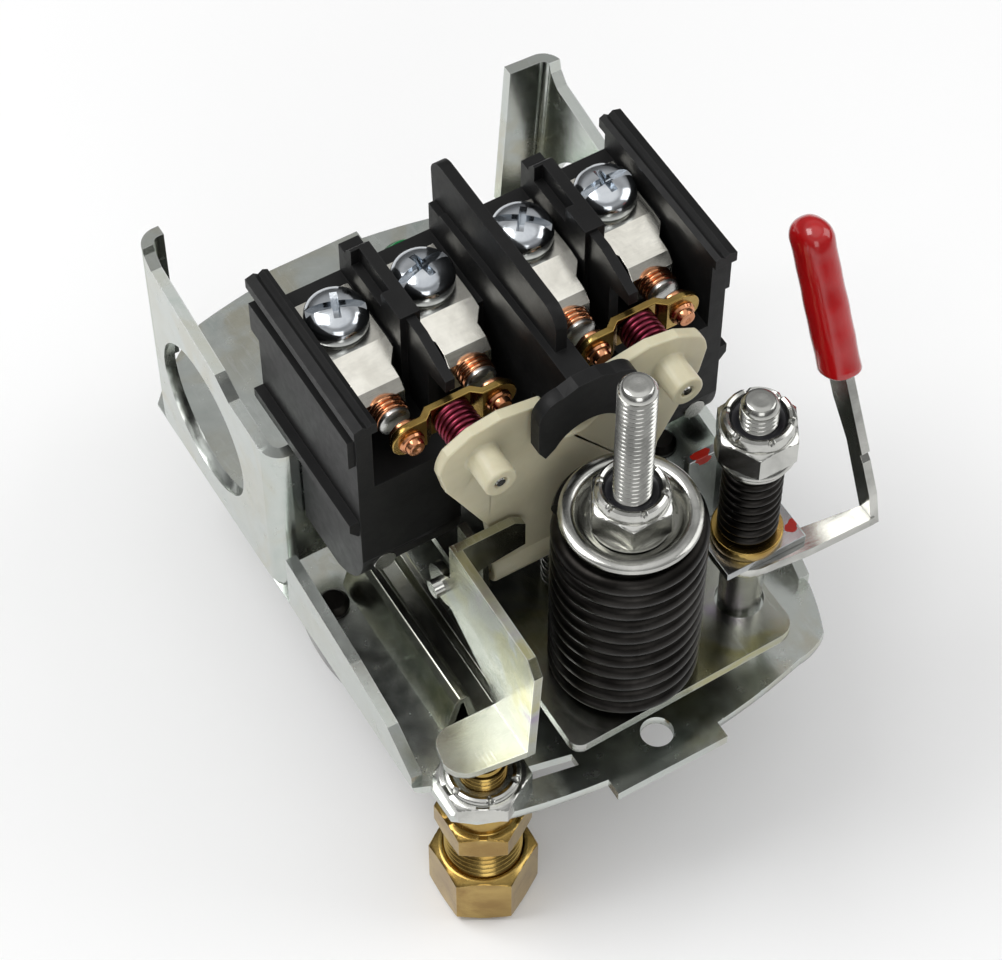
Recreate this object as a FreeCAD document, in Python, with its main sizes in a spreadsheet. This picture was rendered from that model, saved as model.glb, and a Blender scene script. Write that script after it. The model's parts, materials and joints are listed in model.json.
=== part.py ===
import FreeCAD, Part
import math
import os
import re
import Sketcher

# Open-frame air-compressor pressure switch, with its cover off.
# Pieces are drawn in the base plate's own coordinates: X to the right along the terminal row, Y to the
# back, Z up from the plate's underside. Their placement moves them to the frame of the whole part,
# whose origin is the mouth of the pressure port.
SIZES = {
    # how far the base plate lies above and behind the port mouth
    "port_depth": 24, "port_setback": 8,
    # base plate and its walls
    "plate": 1.6, "half_width": 30.4, "half_length": 46.4, "tab_half": 8.3, "tab_length": 2.4,
    "arc_r": 97, "bend": 1.4, "outer_bend": 2.8, "corner_x": 22.8, "corner_y": 43.8,
    "conduit_r": 11.1, "conduit_y": 20, "conduit_z": 16.8,
    "ear_front_z": 30.7, "ear_back_z": 38, "ear_back_y": 36, "lip_left": 3.6, "lip_right": 7.4, "lip_z": 13,
    "flap_left": 9.4, "flap_right": 11, "right_peak": 0.6,
    "rim_z": 11.8, "rim_front_z": 3.6, "rim_back_y": 2, "rim_front_y": 34.7,
    # pressure side
    "port_y": 8, "port_r": 5.6, "port_long": 13, "flange_r": 29.4, "flange_deep": 7, "hub_r": 12.7,
    "diaphragm": 0.9, "bulge": 0.7, "chamber_r": 17, "follower_r": 8.5, "follower_top": 8.35,
    "screw_x": 25.6, "screw_near_y": 5.3, "screw_back_x": 13, "screw_back_y": 14.2, "fixing_r": 1.5,
    # main lever and its hinge
    "lever_z": 8.4, "lever_left": 12.3, "lever_right": 21.8, "tongue": 8.8, "lever_front": 44.6,
    "waist": 11.4,
    "waist_y": 28, "pivot_y": 17.5, "pivot_z": 9.2, "pivot_r": 1.5, "pivot_half": 11,
    # studs, springs and nuts
    "stud_r": 2.4, "shank_r": 2.2, "cover_z": 54, "stud_y": 36, "range_top": 68.4,
    "diff_x": 17.8, "diff_top": 53.1,
    "slack": 0.05,
    "range_seat": 42.2, "range_coil_r": 8.3, "range_wire_r": 1.36, "cup_r": 8.75, "cup_floor": 41.2,
    "diff_coil_r": 3.2, "diff_wire_r": 0.6, "bush_r": 4.6, "diff_seat": 26.8, "diff_nut_z": 42.9,
    "nut_af": 9.5, "nut_tall": 7.2,
    # contact block
    "block_half": 26.2, "rail": 0.6, "wall": 2.25, "block_back": 9, "block_front": 16, "deck_z": 50,
    "block_low": 17, "block_top": 55, "barrier_z": 56.8, "centre_z": 62.7, "centre_thin": 0.8,
    "barrier_in": 11.6, "barrier_out": 14.4,
    "fin": 1.7, "bay_z": 41, "bay_back": 4.2, "bay_in": 12,
    "screw_outer_x": 19.15, "screw_inner_x": 7.05, "screw_y": 1.2, "screw_r": 4.05,
    "strip": 1.0, "strip_wide": 8.6, "contact_z": 47.3, "bar_z": 48.3, "contact_r": 2.3, "contact_y": 13.2,
    # contact cradle, bars and their bracket
    "cradle_front": 23.2, "cradle_thick": 1.6, "bar_give": 0.86, "hinge_y": 21.5,
    "hinge_z": 22, "hinge_r": 1.2,
    "bar_y": 15.9, "bar_thick": 1.0, "bar_r": 2.5, "guide_x": 13.1, "half_pitch": 6.05,
    "upright_x": 12.3, "sheet": 1.2,
    # unloader arm and valve
    "arm_x": 18.2, "tab_z": 10.3, "valve_x": 22.4, "valve_y": 38.7, "valve_af": 11,
    "neck_r": 3.15, "neck_top": 8.6, "thread_r": 5.2, "tube_r": 3.25, "nut_low": 23.5, "valve_nut_af": 12.5,
    # off lever
    "off_z": 22.2, "off_thick": 1.6, "leg_x": 33, "leg_thick": 1.2, "leg_back": 2.6, "leg_wide": 4.4,
    "leg_long": 39,
    "leg_lean": 27,
    "grip_low": 20.4, "grip_long": 21.6, "grip_wide": 6.2, "grip_thick": 4.7,
}
NAMES = re.compile(r"\b(?!abs\b)[a-z][a-z_0-9]*")
RIGHT_LEAN = 3.6
SIDES = (("left", -1), ("right", 1))

doc = FreeCAD.newDocument("pressure_switch")
cells = doc.addObject("Spreadsheet::Sheet", "Sizes")
for row, (alias, size) in enumerate(SIZES.items(), 1):
    cells.set(f"A{row}", alias)
    cells.set(f"B{row}", str(size))
    cells.setAlias(f"B{row}", alias)
doc.recompute()

pieces = []


# ---------------------------------------------------------------- sizes and expressions
def bound(text):
    """An expression on the sheet's cells, from one that names only the aliases."""
    return NAMES.sub(lambda found: "Sizes." + found.group(), str(text))


def number(text):
    """The present value of such an expression."""
    plain = NAMES.sub(lambda found: f"({SIZES[found.group()]})", str(text))
    return FreeCAD.Units.parseQuantity(plain).Value


def bind(thing, **properties):
    for name, text in properties.items():
        thing.setExpression(name, bound(text))


def put(thing, label, x=0, y=0, z=0, axis=(0, 0, 1), angle=0):
    """Names a finished piece and moves it, with its own zero at x, y, z of the base plate."""
    thing.Label = label
    thing.Placement.Rotation = FreeCAD.Rotation(FreeCAD.Vector(*axis), angle)
    thing.setExpression("Placement.Base.x", bound(x))
    thing.setExpression("Placement.Base.y", bound(f"{y} + port_setback"))
    thing.setExpression("Placement.Base.z", bound(f"{z} + port_depth"))
    pieces.append(thing)
    return thing


# ---------------------------------------------------------------- sketches
def sketch(owner, plane, offset=0, axis=(0, 0, 1), angle=0):
    """A sketch on one of the body's origin planes, moved along the plane's normal."""
    made = owner.newObject("Sketcher::SketchObject", "Sketch")
    base = next(o for o in owner.Origin.OriginFeatures if o.Role == plane)
    made.AttachmentSupport = [(base, "")]
    made.MapMode = "FlatFace"
    turned = FreeCAD.Rotation(FreeCAD.Vector(*axis), angle)
    made.AttachmentOffset = FreeCAD.Placement(FreeCAD.Vector(), turned)
    made.setExpression("AttachmentOffset.Base.z", bound(offset))
    return made


def fix_point(made, geometry, end, x, y):
    for kind, text in (("DistanceX", x), ("DistanceY", y)):
        index = made.addConstraint(Sketcher.Constraint(kind, -1, 1, geometry, end, number(text)))
        made.setExpression(f"Constraints[{index}]", bound(text))


def outline(made, points):
    """A closed outline through points (x, y). A point with a third value ends an arc of that radius,
    which bulges to the right of the way from the point before it, or to the left if it is negative."""
    corners = [FreeCAD.Vector(number(p[0]), number(p[1]), 0) for p in points]
    ends = []
    for i, point in enumerate(points):
        start, end = corners[i - 1], corners[i]
        last = 2
        if len(point) == 2:
            index = made.addGeometry(Part.LineSegment(start, end), False)
        else:
            signed = number(point[2])
            radius = abs(signed)
            half = (end - start) * 0.5
            side = FreeCAD.Vector(half.y, -half.x, 0).normalize() * math.copysign(1, signed)
            rise = radius - math.sqrt(max(radius * radius - half.Length ** 2, 0))
            crown = start + half + side * rise
            ends_first = signed < 0
            arc = Part.Arc(end, crown, start) if ends_first else Part.Arc(start, crown, end)
            index = made.addGeometry(arc, False)
            last = 1 if ends_first else 2
            limit = made.addConstraint(Sketcher.Constraint("Radius", index, radius))
            made.setExpression(f"Constraints[{limit}]", bound(f"abs({point[2]})"))
        fix_point(made, index, last, point[0], point[1])
        ends.append((index, last))
    for i, (index, last) in enumerate(ends):
        before, before_last = ends[i - 1]
        made.addConstraint(Sketcher.Constraint("Coincident", before, before_last, index, 3 - last))


def rectangle(made, x_low, y_low, x_high, y_high):
    outline(made, [(x_low, y_low), (x_high, y_low), (x_high, y_high), (x_low, y_high)])


def circle(made, x, y, radius):
    centre = FreeCAD.Vector(number(x), number(y), 0)
    index = made.addGeometry(Part.Circle(centre, FreeCAD.Vector(0, 0, 1), number(radius)), False)
    fix_point(made, index, 3, x, y)
    limit = made.addConstraint(Sketcher.Constraint("Radius", index, number(radius)))
    made.setExpression(f"Constraints[{limit}]", bound(radius))


# ---------------------------------------------------------------- features
def new_body(name):
    return doc.addObject("PartDesign::Body", name)


def pad(owner, made, length, reverse=False, both=False):
    feature = owner.newObject("PartDesign::Pad", "Pad")
    feature.Profile = made
    feature.Reversed = reverse
    feature.Midplane = both
    bind(feature, Length=length)
    doc.recompute()
    return feature


def pocket(owner, made, length, reverse=False, both=False):
    """Cuts the sketch into the body, and stops if nothing is cut."""
    before = owner.Tip.Shape.Volume
    feature = owner.newObject("PartDesign::Pocket", "Pocket")
    feature.Profile = made
    feature.Reversed = reverse
    feature.Midplane = both
    bind(feature, Length=length)
    doc.recompute()
    if feature.Shape.isNull() or feature.Shape.Volume > before - 1e-3:
        raise RuntimeError(f"a pocket of {owner.Name} cuts nothing")
    return feature


def turn(owner, points, groove=False):
    """Revolves an outline of (radius, height) points about the body's Z axis, added or cut away."""
    made = sketch(owner, "XZ_Plane")
    outline(made, points)
    feature = owner.newObject("PartDesign::Groove" if groove else "PartDesign::Revolution", "Turned")
    feature.Profile = made
    feature.ReferenceAxis = (made, ["V_Axis"])
    feature.Angle = 360
    doc.recompute()
    return feature


def rounded(owner, radius, *points):
    """Fillets the edges of the body that run through the given points."""
    shape = owner.Tip.Shape
    names = []
    for x, y, z in points:
        spot = Part.Vertex(number(x), number(y), number(z))
        gaps = [edge.distToShape(spot)[0] for edge in shape.Edges]
        names.append(f"Edge{gaps.index(min(gaps)) + 1}")
    feature = owner.newObject("PartDesign::Fillet", "Fillet")
    feature.Base = (owner.Tip if owner.Tip != feature else feature.BaseFeature, names)
    bind(feature, Radius=radius)
    doc.recompute()
    return feature


def hexagon(made, across_flats, corners_on_y=False):
    """A hexagon about the sketch's zero, with two corners on its X axis, or on its Y axis."""
    half, corner = f"({across_flats}) / 2", f"({across_flats}) * 0.57735"
    if corners_on_y:
        outline(made, [(half, f"-{corner} / 2"), (half, f"{corner} / 2"), ("0", corner),
                       (f"-{half}", f"{corner} / 2"), (f"-{half}", f"-{corner} / 2"), ("0", f"-{corner}")])
    else:
        outline(made, [(f"{corner} / 2", f"-{half}"), (corner, "0"), (f"{corner} / 2", half),
                       (f"-{corner} / 2", half), (f"-{corner}", "0"), (f"-{corner} / 2", f"-{half}")])


def cylinder(radius, height, x=0, y=0, z=0, axis=(0, 0, 1), angle=0):
    made = doc.addObject("Part::Cylinder", "Cylinder")
    bind(made, Radius=radius, Height=height)
    made.Placement.Rotation = FreeCAD.Rotation(FreeCAD.Vector(*axis), angle)
    for direction, text in zip("xyz", (x, y, z)):
        made.setExpression("Placement.Base." + direction, bound(text))
    return made


def box(x_low, y_low, z_low, x_high, y_high, z_high):
    made = doc.addObject("Part::Box", "Box")
    bind(made, Length=f"({x_high}) - ({x_low})", Width=f"({y_high}) - ({y_low})")
    bind(made, Height=f"({z_high}) - ({z_low})")
    for direction, text in zip("xyz", (x_low, y_low, z_low)):
        made.setExpression("Placement.Base." + direction, bound(text))
    return made


def joined(*shapes):
    made = doc.addObject("Part::MultiFuse", "Joined")
    made.Shapes = list(shapes)
    return made


def cut(base, *tools):
    made = doc.addObject("Part::Cut", "Cut")
    made.Base = base
    made.Tool = tools[0] if len(tools) == 1 else joined(*tools)
    return made


def group(*shapes):
    """Separate solids that share one node."""
    made = doc.addObject("Part::Compound", "Group")
    made.Links = list(shapes)
    return made


def coil(mean_r, wire_r, low, high, turns):
    """A round-wire compression spring from low to high about the Z axis."""
    line = doc.addObject("Part::Helix", "CoilLine")
    rise = f"(({high}) - ({low}) - 2 * ({wire_r}))"
    bind(line, Radius=mean_r, Height=rise, Pitch=f"{rise} / {turns}")
    line.setExpression("Placement.Base.z", bound(f"{low} + {wire_r}"))
    wire = doc.addObject("Part::Circle", "Wire")
    bind(wire, Radius=wire_r)
    wire.Placement.Rotation = FreeCAD.Rotation(FreeCAD.Vector(1, 0, 0), 90)
    wire.setExpression("Placement.Base.x", bound(mean_r))
    wire.setExpression("Placement.Base.z", bound(f"{low} + {wire_r}"))
    made = doc.addObject("Part::Sweep", "Coil")
    made.Sections = [wire]
    made.Spine = (line, [])
    made.Solid = True
    made.Frenet = True
    return made


# ---------------------------------------------------------------- base plate
def base_plate():
    body = new_body("base_plate")
    top = sketch(body, "XY_Plane")
    outline(top, [
        ("-half_width", "-rim_front_y"), ("-28.3", "-35.6"), ("-28.2", "-40.6"), ("-25.6", "-42.7"),
        ("-corner_x", "-corner_y"),
        ("-tab_half", "-half_length", "arc_r"), ("-tab_half", "-half_length - tab_length"),
        ("tab_half", "-half_length - tab_length"), ("tab_half", "-half_length"),
        ("corner_x", "-corner_y", "arc_r"), ("27.8", "-42", 9), ("half_width", "-rim_front_y", 40),
        ("half_width", "ear_back_y"), ("19", "45.4", 40), ("tab_half", "half_length + 0.9", "arc_r"),
        ("tab_half", "half_length + tab_length"), ("-tab_half", "half_length + tab_length"),
        ("-tab_half", "half_length + 0.9"), ("-19", "45.4", "arc_r"), ("-half_width", "ear_back_y", 40)])
    pad(body, top, "plate")
    rounded(body, "bend", ("-half_width", "0", "0"), ("half_width", "0", "0"))
    for side, lean, lip, flap, peak in ((-1, 0, "lip_left", "flap_left", "0"),
                                        (1, RIGHT_LEAN, "lip_right", "flap_right", "right_peak")):
        ear = sketch(body, "XY_Plane", f"bend + half_width * {math.sin(math.radians(lean))}", (0, 1, 0), lean)
        wall, inside = f"{side} * half_width", f"{side} * (half_width - plate)"
        curve, hollow = f"{side} * outer_bend", f"-{side} * (outer_bend - plate)"
        bend_x = f"{side} * (half_width - outer_bend)"
        outline(ear, [(bend_x, "0"), (wall, "outer_bend", curve), (wall, "ear_back_y - outer_bend"),
                      (bend_x, "ear_back_y", curve), (f"{side} * (half_width - {lip})", "ear_back_y"),
                      (f"{side} * (half_width - {lip})", "ear_back_y - plate"),
                      (bend_x, "ear_back_y - plate"),
                      (inside, "ear_back_y - outer_bend", hollow), (inside, "outer_bend"),
                      (bend_x, "plate", hollow),
                      (f"{side} * (half_width - {flap})", "plate"),
                      (f"{side} * (half_width - {flap})", "0")])
        pad(body, ear, f"ear_back_z + {peak} - bend")
        rim = sketch(body, "YZ_Plane", f"{side} * (half_width - plate)")
        outline(rim, [("-rim_front_y + 0.3", "bend"), ("-rim_back_y", "bend"), ("-rim_back_y", "rim_z"),
                      ("-19", "9.7"),
                      ("-28.5", "7.6"), ("-rim_front_y + 0.3", "rim_front_z")])
        pad(body, rim, "plate", reverse=side < 0)
        hole = sketch(body, "YZ_Plane", f"{side} * (half_width - plate)", (1, 0, 0), lean)
        circle(hole, "conduit_y", "conduit_z", "conduit_r")
        pocket(body, hole, "6 * plate", both=True)
    slope = sketch(body, "YZ_Plane")
    outline(slope, [("-1", "ear_front_z"), ("10.9", "31.1"), ("14.4", "33"), ("31.5", "35.6"),
                    ("33.2", "37"),
                    ("34", "39.5"), ("34", "60"), ("-1", "60")])
    pocket(body, slope, "4 * half_width", both=True)
    below = sketch(body, "YZ_Plane")
    rectangle(below, "-1", "plate + 0.01", "4", "7")
    rectangle(below, "ear_back_y - 4", "plate + 0.01", "ear_back_y + 1", "lip_z")
    pocket(body, below, "2 * (half_width - plate)", both=True)
    rivets = sketch(body, "XZ_Plane")
    for x in "-23", "23":
        circle(rivets, x, "24", "fixing_r + slack")
    pocket(body, rivets, "6", both=True)
    holes = sketch(body, "XY_Plane")
    circle(holes, "-valve_x", "-valve_y", "neck_r + 0.25")
    circle(holes, "0", "-port_y", "follower_r + 0.5")
    circle(holes, "0", "-stud_y", "stud_r + slack")
    circle(holes, "diff_x", "-stud_y", "stud_r + slack")
    circle(holes, "0.8", "-43.6", "2.2")
    circle(holes, "11.5", "39.5", "2.1")
    outline(holes, [("-16.6", "-41.4"), ("-10.4", "-42.6"), ("-10.4", "-40.8"), ("-16.6", "-39.4")])
    for x, y in FIXINGS:
        circle(holes, x, y, "fixing_r + slack")
    pocket(body, holes, "4 * plate", both=True)
    put(body, "base_plate")


FIXINGS = (("-screw_x", "-screw_near_y"), ("screw_x", "-screw_near_y"),
           ("-screw_back_x", "screw_back_y"), ("screw_back_x", "screw_back_y"))


# ---------------------------------------------------------------- pressure side
def pressure_flange():
    body = new_body("pressure_flange")
    turn(body, [("port_r", "-port_depth"), ("hub_r - 0.6", "-port_depth"), ("hub_r", "-port_depth + 0.8"),
                ("hub_r", "-flange_deep - 2.4"), ("hub_r + 2", "-flange_deep"),
                ("flange_r - 3", "-flange_deep"),
                ("flange_r", "-flange_deep + 2.4"), ("flange_r", "-diaphragm"), ("chamber_r", "-diaphragm"),
                ("chamber_r - 1.6", "-diaphragm - 2.2"), ("3.5", "-diaphragm - 2.2"),
                ("3.5", "-port_depth + port_long + 1.2"), ("port_r", "-port_depth + port_long")])
    holes = sketch(body, "XY_Plane")
    for x, y in FIXINGS:
        circle(holes, x, f"({y}) + port_y", "fixing_r + slack")
    pocket(body, holes, "4 * flange_deep", both=True)
    put(body, "pressure_flange", y="-port_y")


def diaphragm():
    body = new_body("diaphragm")
    turn(body, [("0", "bulge - diaphragm"), ("follower_r - 0.9", "bulge - diaphragm"),
                ("follower_r + 0.1", "-diaphragm"),
                ("flange_r - 0.3", "-diaphragm"), ("flange_r - 0.3", "0"), ("follower_r + 0.4", "0"),
                ("follower_r - 0.6", "bulge"), ("0", "bulge")])
    holes = sketch(body, "XY_Plane")
    for x, y in FIXINGS:
        circle(holes, x, f"({y}) + port_y", "fixing_r + slack")
    pocket(body, holes, "4 * diaphragm", both=True)
    put(body, "diaphragm", y="-port_y")


def diaphragm_follower():
    body = new_body("diaphragm_follower")
    turn(body, [("0", "bulge + slack"), ("follower_r - 0.5", "bulge + slack"), ("follower_r", "1.3"),
                ("follower_r", "3.4"),
                ("3.6", "4.4"), ("3.2", "follower_top - 0.5"), ("2.4", "follower_top"),
                ("0", "follower_top")])
    put(body, "diaphragm_follower", y="-port_y")


def screw(name, head_r, head_tall, shank_r, shank_long, slot=0):
    """A screw with a domed head that stands on z = 0 and a shank below it."""
    body = new_body(name)
    turn(body, [("0", f"-({shank_long})"), (f"{shank_r} - 0.3", f"-({shank_long})"),
                (shank_r, f"-({shank_long}) + 0.4"),
                (shank_r, "0"), (head_r, "0"), (head_r, f"{head_tall} * 0.45"),
                (f"{head_r} * 0.7", head_tall), ("0", head_tall)])
    if slot:
        cross = sketch(body, "XY_Plane", head_tall)
        rectangle(cross, "-2 * screw_r", "-0.6", "2 * screw_r", "0.6")
        pocket(body, cross, slot)
    return body


def at(thing, x, y, z):
    """Sets where a member of a group stands."""
    for direction, text in zip("xyz", (x, y, z)):
        thing.setExpression("Placement.Base." + direction, bound(text))
    return thing


def flange_screws():
    made = [at(screw("flange_screw", "2.2", "1.4", "fixing_r", "plate + flange_deep"), x, y, "plate")
            for x, y in FIXINGS]
    put(group(*made), "flange_screws")


# ---------------------------------------------------------------- main lever
def main_lever():
    body = new_body("main_lever")
    plan = sketch(body, "XY_Plane", "lever_z")
    outline(plan, [("-lever_left", "-lever_front"), ("lever_right", "-lever_front + 0.9"),
                   ("lever_right", "-waist_y - 2"), ("waist", "-waist_y"), ("waist", "pivot_y - 5"),
                   ("tongue", "pivot_y - 4.2"), ("tongue", "pivot_y"), ("-tongue", "pivot_y"),
                   ("-tongue", "pivot_y - 4.2"), ("-waist", "pivot_y - 5"), ("-waist", "-waist_y"),
                   ("-lever_left", "-waist_y - 2")])
    circle(plan, "0", "-stud_y", "stud_r + 1")
    circle(plan, "diff_x", "-stud_y", "3.2")
    pad(body, plan, "plate")
    rounded(body, "2.6", ("lever_right", "-lever_front + 0.9", "lever_z + 0.8"))
    rounded(body, "1.6", ("-lever_left", "-lever_front", "lever_z + 0.8"))
    knuckle = sketch(body, "YZ_Plane")
    circle(knuckle, "pivot_y", "pivot_z", "pivot_r + plate")
    pad(body, knuckle, "2 * tongue", both=True)
    bore = sketch(body, "YZ_Plane")
    circle(bore, "pivot_y", "pivot_z", "pivot_r + slack")
    pocket(body, bore, "3 * waist", both=True)
    put(body, "main_lever")


def upright_bracket(name, half, y_low, y_high, tall, eye_y, eye_z, eye_r):
    """A folded bracket that stands on the base plate: a floor and an upright with an eye at each end."""
    body = new_body(name)
    front = sketch(body, "XZ_Plane", f"-({y_low})")
    outline(front, [(f"-({half} + sheet)", "plate"), (f"{half} + sheet", "plate"),
                    (f"{half} + sheet", tall),
                    (half, tall), (half, "plate + sheet"), (f"-({half})", "plate + sheet"),
                    (f"-({half})", tall), (f"-({half} + sheet)", tall)])
    pad(body, front, f"({y_high}) - ({y_low})", reverse=True)
    eye = sketch(body, "YZ_Plane")
    circle(eye, eye_y, eye_z, f"{eye_r} + slack")
    pocket(body, eye, f"4 * ({half})", both=True)
    put(body, name)


def lever_hinge():
    upright_bracket("lever_bracket", "tongue + 0.3", "pivot_y - 4", "pivot_y + 4", "13",
                    "pivot_y", "pivot_z", "pivot_r")
    pin = cylinder("pivot_r", "2 * pivot_half")
    put(pin, "lever_pivot_pin", "-pivot_half", "pivot_y", "pivot_z", (0, 1, 0), 90)


# ---------------------------------------------------------------- studs, springs and nuts
def stud(name, top, x, shank_r, shank_top):
    """A stud with a collar on the base plate, and a thinner shank below its free end."""
    body = new_body(name)
    turn(body, [("0", "0.05"), (shank_r, "0.05"), (shank_r, "plate"), ("3.6", "plate"),
                ("3.6", "plate + 1.4"),
                (shank_r, "plate + 1.8"), (shank_r, shank_top), ("stud_r", shank_top),
                ("stud_r", f"{top} - 0.9"),
                ("stud_r - 0.7", top), ("0", top)])
    put(body, name, x, "-stud_y")


def lock_nut(name, x, z):
    """A hexagon nut with a washer face below and a crimped collar on top."""
    body = new_body(name)
    across = sketch(body, "XY_Plane", "0.8")
    hexagon(across, "nut_af")
    pad(body, across, "nut_tall - 2.6")
    turn(body, [("0", "0"), ("nut_af / 2 + 0.1", "0"), ("nut_af / 2 + 0.35", "0.5"),
                ("nut_af / 2", "1.4"), ("0", "1.4")])
    turn(body, [("0", "1"), ("nut_af / 2 - 0.15", "1"), ("nut_af / 2 - 0.15", "nut_tall - 1.2"),
                ("nut_af / 2 - 0.6", "nut_tall - 0.2"), ("nut_af / 2 - 1.1", "nut_tall"),
                ("0", "nut_tall")])
    turn(body, [("nut_af / 2 - 0.3", "nut_tall - 1.7"), ("nut_af", "nut_tall - 1.7"),
                ("nut_af", "nut_tall - 4.6")],
         groove=True)
    turn(body, [("0", "-1"), ("shank_r + slack", "-1"), ("shank_r + slack", "nut_tall + 1"),
                ("0", "nut_tall + 1")],
         groove=True)
    turn(body, [("shank_r", "nut_tall - 1"), ("nut_af / 2 - 1.2", "nut_tall - 0.9"),
                ("nut_af / 2 - 1.2", "nut_tall + 1"),
                ("shank_r", "nut_tall + 1")], groove=True)
    put(body, name, x, "-stud_y", z)


def range_assembly():
    stud("range_stud", "range_top", "0", "shank_r", "cover_z")
    put(coil("range_coil_r", "range_wire_r", "lever_z + plate + slack", "range_seat", 10), "range_spring",
        y="-stud_y")
    cup = new_body("range_spring_cup")
    turn(cup, [("shank_r + slack", "cup_floor - 1.3"), ("5.9", "cup_floor - 1.3"),
               ("6.7", "range_seat + slack"),
               ("cup_r", "range_seat + slack"), ("cup_r + 0.1", "range_seat + 0.7"),
               ("cup_r - 0.4", "range_seat + 1.3"),
               ("7", "range_seat + 1.3"), ("5.5", "cup_floor"), ("shank_r + slack", "cup_floor")])
    put(cup, "range_spring_cup", y="-stud_y")
    lock_nut("range_nut", "0", "cup_floor")


def differential_assembly():
    stud("differential_stud", "diff_top", "diff_x", "shank_r", "diff_top - 1.6")
    sleeve = new_body("differential_sleeve")
    turn(sleeve, [("shank_r + slack", "plate + 1.9"), ("2.85", "plate + 1.9"), ("2.85", "off_z - 1.6"),
                  ("3.6", "off_z - 1.1"), ("3.6", "off_z - slack"), ("shank_r + slack", "off_z - slack")])
    put(sleeve, "differential_sleeve", "diff_x", "-stud_y")
    put(cut(box("-5.6", "-4.3", "0", "6.2", "4.4", "sheet"), cylinder("shank_r + slack", "5", z="-1")),
        "friction_plate", "diff_x", "-stud_y", "off_z + off_thick + slack")
    bush = cylinder("bush_r", "diff_seat - off_z - off_thick - sheet - 2 * slack")
    put(cut(bush, cylinder("shank_r + slack", "5", z="-1")),
        "differential_bush", "diff_x", "-stud_y", "off_z + off_thick + sheet + slack")
    spring = coil("diff_coil_r", "diff_wire_r", "diff_seat", "diff_nut_z - 1.0", 6)
    put(spring, "differential_spring", "diff_x", "-stud_y")
    put(cut(cylinder("4.6", "0.9"), cylinder("shank_r + slack", "5", z="-1")),
        "differential_washer", "diff_x", "-stud_y", "diff_nut_z - 0.95")
    lock_nut("differential_nut", "diff_x", "diff_nut_z")


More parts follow.
